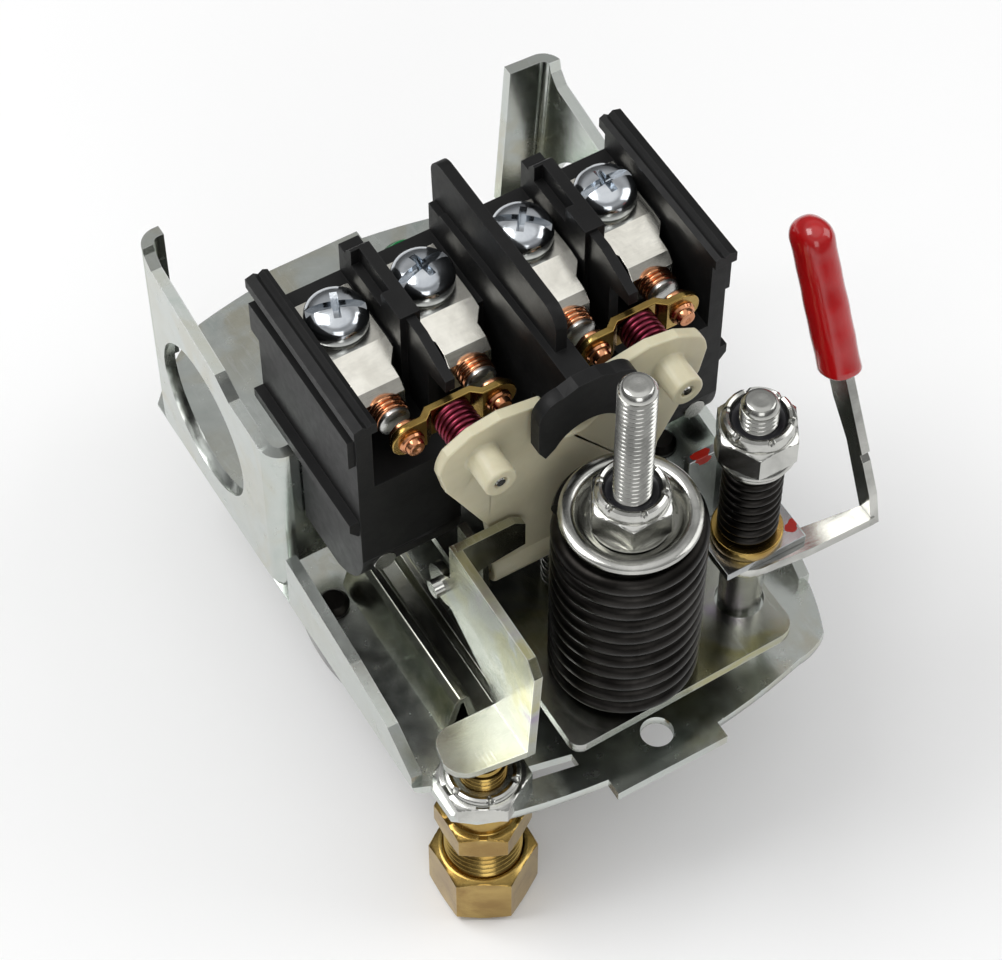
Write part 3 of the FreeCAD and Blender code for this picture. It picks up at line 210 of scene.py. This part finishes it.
def moulded(name, colour, dark, rough, grain=0.4, scale=2600, **more):
    """Moulded plastic with a fine skin texture, slight clouding and edges painted lighter, as painted sheen
    and rubbing.
    """
    n = Nodes(name)
    cloud = n.noise(120, 4, 0.6, 0.6)
    shade = n.mix(n.ramp(cloud, [(0.3, 0.0), (0.7, 1.0)]), colour, dark)
    # Edges painted lighter grey: a painted sheen along the edges, together with rubbing.
    edge = n.ramp(n.edge_highlight_and_wear(0.0003), [(0.15, 0.0), (1.0, 1.0)])
    shade = n.mix(n.math("MULTIPLY", edge, 0.10), shade, tuple(0.6 * c + 0.12 for c in colour))
    roughness = n.math("ADD", rough, n.math("MULTIPLY", n.math("SUBTRACT", n.noise(700, 3), 0.5), 0.18))
    normal = n.bump(n.noise(scale, 3, 0.6), 0.00003, grain)
    normal = n.bump(n.noise(160, 2), 0.00008, 0.25, normal)
    return n.finish(shade, roughness, 0.0, normal, **more)


def painted(name, place, reach):
    """Bright metal with a smear of red marking paint round one place."""
    n = Nodes(name)
    colour, roughness, normal = metal_look(n, (0.46, 0.47, 0.47), (0.32, 0.33, 0.34), 0.22, 0.25)
    spot = n.add("ShaderNodeVectorMath", operation="DISTANCE")
    n.feed(spot.inputs[0], n.place)
    n.feed(spot.inputs[1], place)
    ragged = n.math("ADD", spot.outputs["Value"], n.math("MULTIPLY", n.noise(620, 2, 0.5), 1.6 * reach))
    inside = n.math("LESS_THAN", ragged, 1.6 * reach)
    colour = n.mix(inside, colour, (0.42, 0.015, 0.006))
    return n.finish(colour, roughness, n.math("SUBTRACT", 1.0, inside), normal)


def cast(name, colour, dark):
    n = Nodes(name)
    cloud = n.noise(110, 5, 0.65, 0.8)
    shade = n.mix(n.ramp(cloud, [(0.3, 0.0), (0.7, 1.0)]), colour, dark)
    pits = n.noise(1500, 4, 0.7)
    roughness = n.math("ADD", 0.36, n.math("MULTIPLY", pits, 0.25))
    normal = n.bump(pits, 0.00006, 0.6)
    return n.finish(shade, roughness, 0.9, normal)


MATERIALS = {
    "zinc_plate": plated_sheet("zinc_plate", (0.54, 0.57, 0.54), (0.36, 0.44, 0.41), (0.50, 0.48, 0.38),
                               0.75, 0.24),
    "zinc_yellow": plated_sheet("zinc_yellow", (0.42, 0.43, 0.38), (0.33, 0.27, 0.38), (0.42, 0.40, 0.20),
                                0.95, 0.22),
    "die_cast": cast("die_cast", (0.40, 0.40, 0.39), (0.28, 0.28, 0.28)),
    "rubber_black": moulded("rubber_black", (0.010, 0.010, 0.010), (0.016, 0.016, 0.016), 0.6),
    "black_steel": bright_metal("black_steel", (0.030, 0.028, 0.026), (0.012, 0.011, 0.010), 0.36, 0.3),
    "steel_bright": bright_metal("steel_bright", (0.56, 0.56, 0.53), (0.36, 0.36, 0.34), 0.2, 0.3),
    "strip_bright": bright_metal("strip_bright", (0.90, 0.88, 0.80), (0.70, 0.68, 0.61), 0.2, 0.45),
    "brass": bright_metal("brass", (0.46, 0.32, 0.10), (0.28, 0.17, 0.045), 0.24, 0.35),
    "nickel_screw": bright_metal("nickel_screw", (0.62, 0.65, 0.68), (0.44, 0.47, 0.51), 0.15, 0.25),
    "contact_metal": bright_metal("contact_metal", (0.72, 0.34, 0.18), (0.48, 0.19, 0.09), 0.2, 0.3),
    "contact_silver": bright_metal("contact_silver", (0.66, 0.66, 0.63), (0.50, 0.50, 0.48), 0.3, 0.3),
    "green_screw": bright_metal("green_screw", (0.02, 0.34, 0.10), (0.01, 0.20, 0.06), 0.28, 0.3),
    "tinted_spring": bright_metal("tinted_spring", (0.22, 0.035, 0.06), (0.12, 0.018, 0.035), 0.3, 0.3),
    "black_moulding": moulded("black_moulding", (0.006, 0.006, 0.0062), (0.010, 0.010, 0.010), 0.5,
                              Specular_IOR_Level=0.22),
    "cream_moulding": moulded("cream_moulding", (0.66, 0.62, 0.45), (0.58, 0.54, 0.38), 0.34, 0.2,
                              Subsurface_Weight=0.35, Subsurface_Radius=(0.004, 0.003, 0.002),
                              Subsurface_Scale=0.6),
    "nylon_insert": moulded("nylon_insert", (0.014, 0.014, 0.018), (0.025, 0.025, 0.028), 0.3),
    "red_vinyl": moulded("red_vinyl", (0.46, 0.006, 0.008), (0.36, 0.004, 0.005), 0.2, 0.12, 1200,
                         Coat_Weight=0.6, Coat_Roughness=0.08),
    "painted_plate": painted("painted_plate", at(23.2, -38.2, 24.8), 0.0012),
    "painted_stop": painted("painted_stop", at(21.2, -20.6, 20.5), 0.0016),
}
SLOT_OF = {part["node"]: part["material_slot"] for part in frame["record"]["subparts"]}
LOOK_OF = {"friction_plate": "painted_plate", "stop_bracket": "painted_stop"}


# ---------------------------------------------------------------- shapes
class Shape:
    """Collects faces, in millimetres of the base plate's own coordinates, about a local zero."""

    def __init__(self, x=0, y=0, z=0, turned=Matrix()):
        self.points = []
        self.faces = []
        self.place = Matrix.Translation((x, y, z)) @ turned

    def rows(self, rows, around=True, caps=False):
        """Quads between rows that hold the same number of points, with end faces if wanted."""
        base, count = len(self.points), len(rows[0])
        for row in rows:
            self.points += [self.place @ Vector(point) for point in row]
        for i in range(len(rows) - 1):
            for j in range(count if around else count - 1):
                k = (j + 1) % count
                low = base + i * count
                self.faces.append((low + j, low + k, low + count + k, low + count + j))
        if caps:
            last = base + (len(rows) - 1) * count
            self.faces.append(tuple(range(base + count - 1, base - 1, -1)))
            self.faces.append(tuple(range(last, last + count)))
        return self

    def lathe(self, profile, count=64, caps=False):
        """A profile of (radius, height) points turned about Z."""
        angles = [math.tau * j / count for j in range(count)]
        rows = [[(r * math.cos(a), r * math.sin(a), z) for a in angles] for r, z in profile]
        return self.rows(rows, caps=caps)

    def ring(self, profile, count=64):
        return self.lathe(list(profile) + [profile[0]], count)

    def thread(self, radius, depth, pitch, low, high, count=48):
        """An outside vee thread, as one helical surface."""
        rows = []
        section = ((0.0, 0.0), (0.12, 0.0), (0.44, 0.92), (0.50, 1.0), (0.56, 0.92), (0.88, 0.0))
        for turn in range(-1, int((high - low) / pitch) + 2):
            for share, rise in section:
                r = radius - depth * (1 - rise)
                rows.append([])
                for j in range(count + 1):
                    z = min(max(low + (turn + share + j / count) * pitch, low), high)
                    a = math.tau * j / count + 1
                    rows[-1].append((r * math.cos(a), r * math.sin(a), z))
        return self.rows(rows, around=False)

    def coil(self, mean, wire, low, high, turns, closed=0.9, steps=40, around=14, part=(0, 1)):
        """A compression spring with closed ends that are ground flat, or a part of its length."""
        end_pitch = 2 * wire * 1.01
        middle = (high - low - wire - 2 * closed * end_pitch) / (turns - 2 * closed)
        rows = []
        for i in range(int(turns * steps * part[0]), int(turns * steps * part[1]) + 1):
            t = i / steps
            lower, upper = min(t, closed), max(t - (turns - closed), 0)
            height = low + wire / 2 + (lower + upper) * end_pitch + (t - lower - upper) * middle
            a = math.tau * t
            row = []
            for j in range(around):
                b = math.tau * j / around
                r = mean + wire * math.cos(b)
                z = min(max(height + wire * math.sin(b), low), high)
                row.append((r * math.cos(a), r * math.sin(a), z))
            rows.append(row)
        return self.rows(rows, caps=True)

    def box(self, low, high):
        corners = [(low[0], low[1]), (high[0], low[1]), (high[0], high[1]), (low[0], high[1])]
        return self.rows([[(x, y, z) for x, y in corners] for z in (low[2], high[2])], caps=True)

    def make(self, name, look, sharp=32):
        mesh = bpy.data.meshes.new(name)
        mesh.from_pydata([at(*point) for point in self.points], [], self.faces)
        build = bmesh.new()
        build.from_mesh(mesh)
        bmesh.ops.remove_doubles(build, verts=build.verts, dist=1e-7)
        bmesh.ops.recalc_face_normals(build, faces=build.faces)
        build.to_mesh(mesh)
        build.free()
        mesh.shade_smooth()
        mesh.set_sharp_from_angle(angle=math.radians(sharp))
        mesh.materials.append(MATERIALS[look])
        piece = bpy.data.objects.new(name, mesh)
        bpy.context.scene.collection.objects.link(piece)
        return piece


def settle(piece, node, replaces=True):
    """The piece moves with the node's body."""
    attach(piece, BODY_OF[node])
    if replaces:
        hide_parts(node)
    return piece


def stands_for(shape, node, sharp):
    """The shape shows in place of the CAD node's own surface."""
    settle(shape.make(node + "_detail", SLOT_OF[node], sharp), node)


def hexagon(across, corner_angle=0.0):
    """The radius of a hexagon at an angle, with a corner at corner_angle."""
    def radius(angle):
        turned = (angle - corner_angle) % (math.pi / 3) - math.pi / 6
        return across / 2 / math.cos(turned)
    return radius


def spread(low, high, count):
    return [low + (high - low) * i / (count - 1) for i in range(count)]


def chamfered_hexagon(shape, across, low, high, bore, corner_angle=0.0, bottom=True):
    """A hexagon between two heights with turned chamfers on its corners, and a hole through it."""
    flat = hexagon(across, corner_angle)
    slope = 0.5

    def radius(angle, height):
        limits = [flat(angle), across / 2 - 0.1 + (high - height) / slope]
        if bottom:
            limits.append(across / 2 - 0.1 + (height - low) / slope)
        return min(limits)

    reach = min(0.9, (high - low) / 2)
    heights = spread(low, low + reach, 9) + [(low + high) / 2] + spread(high - reach, high, 9)
    angles = [math.tau * j / 96 for j in range(96)]
    rows = [[(bore * math.cos(a), bore * math.sin(a), low) for a in angles]]
    rows += [[(radius(a, z) * math.cos(a), radius(a, z) * math.sin(a), z) for a in angles] for z in heights]
    rows += [[(bore * math.cos(a), bore * math.sin(a), z) for a in angles] for z in (high, low)]
    return shape.rows(rows)


PUNCH_MARKS = 6
MARK_HALF_WIDE = 0.28


def crimped_collar(shape, radius, low, high, inner, phase=0.3):
    """The rolled rim over a lock nut's insert, with small punch marks round it."""
    def dent(angle):
        place = (angle - phase) % (math.tau / PUNCH_MARKS)
        off = min(place, math.tau / PUNCH_MARKS - place) * radius
        return math.exp(-(off / MARK_HALF_WIDE) ** 2)

    angles = [math.tau * j / 180 for j in range(180)]
    tall = high - low
    profile = ((radius - 0.35, 0.0, 0.0), (radius - 0.05, 0.12, 0.1), (radius, 0.4, 0.3),
               (radius - 0.05, 0.66, 0.6), (radius - 0.25, 0.88, 0.9), (radius - 0.6, 1.0, 1.0),
               (radius - 0.95, 0.92, 0.8), (inner, 0.8, 0.3), (inner, 0.0, 0.0))
    rows = []
    for r, share, mark in profile:
        row = []
        for a in angles:
            d = dent(a) * mark
            dented = r - 0.16 * d
            row.append((dented * math.cos(a), dented * math.sin(a), low + tall * share - 0.42 * d))
        rows.append(row)
    return shape.rows(rows)


for name, piece in NODES.items():
    piece.data.materials.clear()
    piece.data.materials.append(MATERIALS[LOOK_OF.get(name, SLOT_OF[name])])


# ---------------------------------------------------------------- studs, nuts and springs
STUD_Y = -36
RANGE = (0, STUD_Y)
DIFFERENTIAL = (17.8, STUD_Y)
SNAP = (0, -21.5)
VALVE = (-22.4, -38.7)
PITCH = 0.79375
THREAD_LOW = 30
RANGE_TOP, DIFFERENTIAL_TOP = 68.4, 53.1
RANGE_NUT_Z, DIFFERENTIAL_NUT_Z = 41.2, 42.9
SHANK_R, BORE_R = 2.2, 2.25
BARS = {"left": -13.1, "right": 13.1}
BAR_Y, BAR_Z = -15.9, 48.3


def stud(node, place, top):
    """A riveted foot, a plain shank, a thread and a chamfered tip."""
    shape = Shape(*place)
    shape.lathe([(SHANK_R, 0.05), (SHANK_R, 1.6), (3.6, 1.6), (3.6, 2.7), (3.3, 3.0), (SHANK_R, 3.4),
                 (SHANK_R, THREAD_LOW)], caps=True)
    shape.thread(2.4, 0.46, PITCH, THREAD_LOW, top - 1.1)
    shape.lathe([(1.95, top - 1.2), (2.32, top - 1.1), (2.3, top - 0.75), (1.85, top - 0.12),
                 (1.7, top - 0.02), (1.0, top), (0.3, top - 0.05)], caps=True)
    stands_for(shape, node, 40)


def lock_nut(node, place, z):
    """A flanged hexagon nut with a crimped collar over its dark insert."""
    shape = Shape(*place, z)
    shape.ring([(BORE_R, 0), (4.6, 0), (4.95, 0.12), (5.1, 0.45), (5.0, 0.8), (4.75, 1.1), (BORE_R, 1.2)],
               96)
    chamfered_hexagon(shape, 9.5, 0.9, 5.4, BORE_R)
    crimped_collar(shape, 4.6, 5.0, 7.2, 3.5)
    stands_for(shape, node, 30)
    insert = Shape(*place, z)
    insert.ring([(BORE_R, 5.3), (3.52, 5.3), (3.52, 6.2), (3.2, 6.45), (2.6, 6.3), (BORE_R, 6.05)])
    settle(insert.make(node + "_insert", "nylon_insert"), node, replaces=False)


def spring(name, node, shape):
    """A spring mesh in the finish of the node's slot, with its placement baked into its vertices."""
    piece = shape.make(name, SLOT_OF[node], 50)
    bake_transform(piece)
    return piece


def range_coil(part):
    """Half of the range spring: the given part of its coil's length."""
    return Shape(*RANGE).coil(8.3, 1.36, 10.05, 42.2, 11.4, closed=0.8, steps=64, around=20, part=part)


def springs():
    node = "range_spring"
    lower = spring(node + "_detail", node, range_coil((0, 0.5)))
    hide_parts(node)
    spring(node + "_detail_upper", node, range_coil((0.5, 1)))
    simple = (
        ("differential_spring", DIFFERENTIAL, (3.2, 0.68, 26.8, 41.9, 9),
         "frame", "differential_washer", 27.5, 41.2),
        ("snap_spring", SNAP, (2.6, 0.5, 10.05, 19.35, 6), "lever", "frame", 10.5, 19),
        ("valve_spring", VALVE, (1.8, 0.4, -15.45, -8.05, 6), "frame", "stem", -15, -8.5))
    for node, place, coil, one, other, low, high in simple:
        piece = spring(node + "_detail", node, Shape(*place).coil(*coil))
        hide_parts(node)
    for side, x in BARS.items():
        node = "contact_spring_" + side
        shape = Shape(x, BAR_Y, BAR_Z, TURN_Y).coil(2.3, 0.36, 0.05, 5.65, 7, closed=0.6)
        piece = shape.make(node + "_detail", SLOT_OF[node], 50)
        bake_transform(piece)
        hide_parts(node)


def spring_cup():
    shape = Shape(*RANGE)
    shape.ring([(BORE_R, 39.9), (5.6, 39.9), (6.2, 40.5), (6.6, 41.6), (6.8, 42.25), (8.5, 42.25),
                (8.75, 42.35), (8.85, 42.7), (8.75, 43.1), (8.45, 43.35), (8.0, 43.42), (7.5, 43.4),
                (7.05, 43.25), (6.75, 42.9), (6.3, 42.0), (5.9, 41.45), (5.4, 41.2), (BORE_R, 41.2)], 96)
    stands_for(shape, "range_spring_cup", 34)


# ---------------------------------------------------------------- terminals and contacts
TERMINALS = (-19.15, -7.05, 7.05, 19.15)
SCREW_TURNS = (-20, 12, -38, 4)
SCREW_Y, SCREW_Z = 1.2, 51
FIXED_Y, FIXED_Z = -10.2, 47.3
MOVING_Z = 48.0
HALF_PITCH = 6.05


def carved(name, look, solid, tools, sharp=30):
    """A mesh with tools cut out of it."""
    piece = solid.make(name, look, sharp)
    helpers = [tool.make(name + "_tool", look) for tool in tools]
    for helper in helpers:
        cut = piece.modifiers.new("Cut", "BOOLEAN")
        cut.operation = "DIFFERENCE"
        cut.solver = "EXACT"
        cut.object = helper
    bpy.context.view_layer.update()
    mesh = bpy.data.meshes.new_from_object(piece.evaluated_get(bpy.context.evaluated_depsgraph_get()))
    piece.modifiers.clear()
    piece.data = mesh
    mesh.shade_smooth()
    mesh.set_sharp_from_angle(angle=math.radians(sharp))
    for helper in helpers:
        bpy.data.objects.remove(helper)
    return piece


def wedge(shape, half_long, half_wide, top, low, foot=0.45):
    """A tapered bar, longer above than below."""
    rows = []
    for height, share in ((low, foot), (top, 1.0)):
        x, y = half_long * share, half_wide * (0.7 + 0.3 * share)
        rows.append([(-x, -y, height), (x, -y, height), (x, y, height), (-x, y, height)])
    return shape.rows(rows, caps=True)


def terminal_screws():
    """Slotted and cross-recessed binding heads, each turned its own way."""
    for i, (x, turn) in enumerate(zip(TERMINALS, SCREW_TURNS), 1):
        turned = Matrix.Rotation(math.radians(turn), 4, "Z")
        place = (x, SCREW_Y, SCREW_Z)
        head = Shape(*place)
        head.lathe([(1.6, -7.2), (1.95, -6.6), (1.95, 0), (3.3, 0.02), (3.85, 0.25), (4.05, 0.6),
                    (4.05, 1.7), (3.98, 2.1), (3.75, 2.55), (3.3, 3.0), (2.7, 3.35), (2.0, 3.58),
                    (1.2, 3.72), (0.4, 3.78)], 80, caps=True)
        slot = Shape(*place, turned).box((-5, -0.55, 2.55), (5, 0.55, 5))
        tools = [slot]
        for angle in (90, 180) if i % 2 else (0, 90):
            across = turned @ Matrix.Rotation(math.radians(angle), 4, "Z")
            tools.append(wedge(Shape(*place, across), 2.5, 0.5, 4.4, 1.5, 0.3))
        piece = carved(f"terminal_screw_{i}", "nickel_screw", head, tools)
        settle(piece, "terminal_screws", replaces=i == 1)


def fixed_contacts():
    """A ribbed copper shank with a silvery face, one at each terminal."""
    for i, x in enumerate(TERMINALS, 1):
        shape = Shape(x, FIXED_Y, FIXED_Z, TURN_Y)
        ribs = []
        for rib in range(3):
            start = 0.1 + rib * 0.72
            ribs += [(2.0, start), (2.3, start + 0.12), (2.38, start + 0.34), (2.3, start + 0.56)]
            ribs.append((2.0, start + 0.68))
        shape.lathe([(1.8, 0.0)] + ribs + [(2.0, 2.3)], 56, caps=True)
        settle(shape.make(f"fixed_contact_{i}", "contact_metal", 60), "fixed_contacts", replaces=i == 1)
        cap = Shape(x, FIXED_Y, FIXED_Z, TURN_Y)
        cap.lathe([(2.1, 2.2), (2.15, 2.35), (2.1, 2.7), (1.85, 2.9), (1.2, 2.98), (0.3, 3.0)],
                  48, caps=True)
        settle(cap.make(f"fixed_contact_face_{i}", "contact_silver"), "fixed_contacts", replaces=False)


def moving_contacts():
    """A copper rivet with a silvery face at each end of each contact bar."""
    for side, bar_x in BARS.items():
        node = "moving_contacts_" + side
        for i, offset in enumerate((-HALF_PITCH, HALF_PITCH), 1):
            x = bar_x + offset
            rivet = Shape(x, BAR_Y, MOVING_Z, TURN_Y)
            rivet.lathe([(1.75, -1.0), (2.1, -0.86), (2.15, -0.5), (2.05, -0.3), (2.15, -0.12), (2.0, 0.0),
                         (1.0, 0.0), (1.0, 1.0), (1.65, 1.0), (1.7, 1.2), (1.55, 1.5), (1.25, 1.6),
                         (1.2, 2.1), (1.05, 2.35), (0.6, 2.42), (0.2, 2.3)], 48, caps=True)
            settle(rivet.make(f"{node}_{i}", "contact_metal", 40), node, replaces=i == 1)
            face = Shape(x, BAR_Y, MOVING_Z, TURN_Y)
            face.lathe([(0.3, -1.32), (1.2, -1.3), (1.7, -1.2), (1.9, -0.98), (1.8, -0.9)], 48, caps=True)
            settle(face.make(f"{node}_face_{i}", "contact_silver"), node, replaces=False)


# ---------------------------------------------------------------- unloader valve
THIRTY = math.radians(30)
TUBE_NUT_Z, TUBE_NUT_TALL = -23.5, 9.7


def valve_body():
    body = Shape(*VALVE)
    body.thread(3.15, 0.32, 0.9, 0, 8.0)
    body.lathe([(2.7, 7.9), (2.8, 8.1), (2.6, 8.5), (2.3, 8.6), (1.25, 8.6), (1.25, 7)], 48)
    body.lathe([(2.6, -0.02), (4.6, 0), (4.7, -0.2), (4.7, -3.3), (4.9, -3.5)], 64)
    chamfered_hexagon(body, 11, -7.8, -3.4, 2.6, THIRTY)
    body.thread(5.2, 0.42, 1.15, -16.4, -7.7, 64)
    body.lathe([(4.8, -16.3), (4.75, -16.9), (4.4, -17), (2, -17), (2, -15.5), (2.6, -15.5), (2.6, -4.5),
                (1.25, -4), (1.25, 7.2)], 48)
    stands_for(body, "valve_body", 34)


def valve_lock_nut():
    nut = Shape(*VALVE, 1.6)
    chamfered_hexagon(nut, 11, 0, 3.0, 3.2, THIRTY, bottom=False)
    crimped_collar(nut, 5.0, 2.6, 3.8, 3.9, phase=0.2)
    nut.ring([(3.2, 2.5), (3.92, 2.5), (3.92, 3.3), (3.2, 3.4)])
    stands_for(nut, "valve_lock_nut", 30)


def compression_nut():
    """A hexagon chamfered at both ends, with a tube bore below and a threaded bore above."""
    nut = Shape(*VALVE, TUBE_NUT_Z)
    flat = hexagon(12.5, THIRTY)
    chamfer = 0.9

    def outer(angle, height):
        return min(flat(angle), 5.9 + height * 1.9, 5.75 + (TUBE_NUT_TALL - height) * 1.9)

    angles = [math.tau * j / 96 for j in range(96)]
    shoulder = TUBE_NUT_TALL - chamfer
    heights = spread(0, chamfer, 9) + [TUBE_NUT_TALL / 2] + spread(shoulder, TUBE_NUT_TALL, 9)
    rows = [[(r * math.cos(a), r * math.sin(a), z) for a in angles]
            for r, z in ((3.25, 2.5), (3.25, 0.3), (3.5, 0))]
    rows += [[(outer(a, z) * math.cos(a), outer(a, z) * math.sin(a), z) for a in angles] for z in heights]
    rows += [[(r * math.cos(a), r * math.sin(a), z) for a in angles]
             for r, z in ((5.45, TUBE_NUT_TALL), (5.25, 9.4), (5.25, 4.5), (3.25, 2.5))]
    nut.rows(rows)
    stands_for(nut, "compression_nut", 30)


# ---------------------------------------------------------------- off lever's grip
LEAN = Matrix.Rotation(math.radians(-27), 4, "X")
LEG = Vector((15.8, -4.8))


def lever_grip():
    """A dipped vinyl sleeve: oval, with a domed end, a soft rim and a slight waver along its length."""
    low, high, dome = 20.4, 42.0, 2.6
    wide, thick, power = 3.15, 2.42, 0.82
    outline = [(low + 0.5, 0.62), (low + 0.1, 0.72), (low, 0.84), (low + 0.12, 0.95), (low + 0.4, 1.0)]
    for z in spread(low + 1, high - dome, 14):
        outline.append((z, 1.0 + 0.012 * math.sin(z * 1.3) + 0.01 * math.sin(z * 0.5)))
    for k in range(1, 10):
        outline.append((high - dome + dome * math.sin(k * math.pi / 20), math.cos(k * math.pi / 20)))
    rows = []
    for height, share in outline:
        rows.append([])
        for j in range(64):
            a = math.tau * j / 64
            across = math.copysign(abs(math.cos(a)) ** power, math.cos(a)) * wide * share
            through = math.copysign(abs(math.sin(a)) ** power, math.sin(a)) * thick * share
            rows[-1].append((*(LEG + Vector((through, across))), height))
    shape = Shape(*DIFFERENTIAL, 22.2, LEAN).rows(rows, caps=True)
    stands_for(shape, "lever_grip", 60)


# ---------------------------------------------------------------- folded and moulded CAD pieces
def soften(node, width):
    """Rounds a CAD node's sharp edges a little."""
    piece = NODES[node]
    weld = piece.modifiers.new("Weld", "WELD")
    weld.merge_threshold = 0.002 * MM
    bevel = piece.modifiers.new("Bevel", "BEVEL")
    bevel.width = width * MM
    bevel.segments = 2
    bevel.limit_method = "ANGLE"
    bevel.angle_limit = math.radians(40)
    bevel.use_clamp_overlap = True
    bevel.harden_normals = True


EDGE_WIDTHS = {
    0.4: ("contact_cradle",),
    0.3: ("base_plate", "main_lever", "pressure_flange"),
    0.28: ("contact_block",),
    0.25: ("unloader_arm", "off_lever", "channel_bracket", "cradle_hinge_pin", "lever_pivot_pin"),
    0.2: ("friction_plate", "lever_bracket", "cradle_bracket", "stop_bracket", "differential_bush",
          "differential_sleeve", "diaphragm_follower", "ground_screw"),
    0.15: ("differential_washer", "contact_bar_left", "contact_bar_right", "flange_screws", "block_rivets"),
    0.12: ("terminal_strip_1", "terminal_strip_2", "terminal_strip_3", "terminal_strip_4")}


def soften_all():
    for width, nodes in EDGE_WIDTHS.items():
        for node in nodes:
            soften(node, width)


stud("range_stud", RANGE, RANGE_TOP)
stud("differential_stud", DIFFERENTIAL, DIFFERENTIAL_TOP)
lock_nut("range_nut", RANGE, RANGE_NUT_Z)
lock_nut("differential_nut", DIFFERENTIAL, DIFFERENTIAL_NUT_Z)
springs()
spring_cup()
terminal_screws()
fixed_contacts()
moving_contacts()
valve_body()
valve_lock_nut()
compression_nut()
lever_grip()
soften_all()


# ---------------------------------------------------------------- stage
SKY = [(0.0, 0.10), (0.30, 0.16), (0.62, 0.50), (0.80, 0.40), (0.92, 1.0)]
SKY_STRENGTH = 1.0
LAMP_AIM = Vector((0, 0, 0.04))
LAMPS = [("key", (-0.35, 0.25, 0.75), 0.45, 3.4), ("fill", (0.6, -0.25, 0.5), 0.5, 1.6),
         ("front", (-0.3, -0.7, 0.4), 0.4, 1.0)]


def stage():
    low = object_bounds()[0].z
    mesh = bpy.data.meshes.new("floor")
    half = 3
    corners = [(-half, -half, low), (half, -half, low), (half, half, low), (-half, half, low)]
    mesh.from_pydata(corners, [], [(0, 1, 2, 3)])
    floor = bpy.data.objects.new("floor", mesh)
    bpy.context.scene.collection.objects.link(floor)
    n = Nodes("floor_white")
    n.finish(n.mix(n.noise(3), (0.93, 0.93, 0.93), (0.95, 0.95, 0.95)), 0.7)
    mesh.materials.append(n.material)
    floor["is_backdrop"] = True
    studio_sky()
    for name, place, size, power in LAMPS:
        light = bpy.data.lights.new(name, "AREA")
        light.energy = power
        light.size = size
        lamp = bpy.data.objects.new(name, light)
        lamp.location = place
        lamp.rotation_euler = (LAMP_AIM - Vector(place)).to_track_quat("-Z", "Y").to_euler()
        bpy.context.scene.collection.objects.link(lamp)


def studio_sky():
    """A soft sky: bright overhead and dark round the horizon, so that bare metal shows contrast."""
    world = bpy.data.worlds.new("studio")
    bpy.context.scene.world = world
    world.use_nodes = True
    tree = world.node_tree
    background = tree.nodes["Background"]
    place = tree.nodes.new("ShaderNodeTexCoord")
    split = tree.nodes.new("ShaderNodeSeparateXYZ")
    tree.links.new(place.outputs["Generated"], split.inputs[0])
    ramp = tree.nodes.new("ShaderNodeValToRGB")
    tree.links.new(split.outputs["Z"], ramp.inputs["Fac"])
    elements = ramp.color_ramp.elements
    while len(elements) < len(SKY):
        elements.new(0.5)
    for element, (height, shade) in zip(elements, SKY):
        element.position = height
        element.color = (shade, shade, shade, 1)
    ramp.color_ramp.interpolation = "EASE"
    tree.links.new(ramp.outputs["Color"], background.inputs["Color"])
    background.inputs["Strength"].default_value = SKY_STRENGTH
    bpy.context.scene.view_settings.view_transform = "Standard"


CAMERA_PLACE = (-0.1254, -0.2082, 0.3867)
CAMERA_BACK = (-0.2932, -0.4923, 0.8195)
CAMERA_LENS = 116.5


def camera():
    back = Vector(CAMERA_BACK).normalized()
    right = Vector((0, 0, 1)).cross(back).normalized()
    up = back.cross(right)
    data = bpy.data.cameras.new("camera")
    data.lens = CAMERA_LENS
    data.sensor_width = 36
    data.clip_start = 0.01
    eye = bpy.data.objects.new("camera", data)
    turned = Matrix((right, up, back)).transposed().to_4x4()
    eye.matrix_world = Matrix.Translation(CAMERA_PLACE) @ turned
    bpy.context.scene.collection.objects.link(eye)
    bpy.context.scene.camera = eye


stage()
camera()
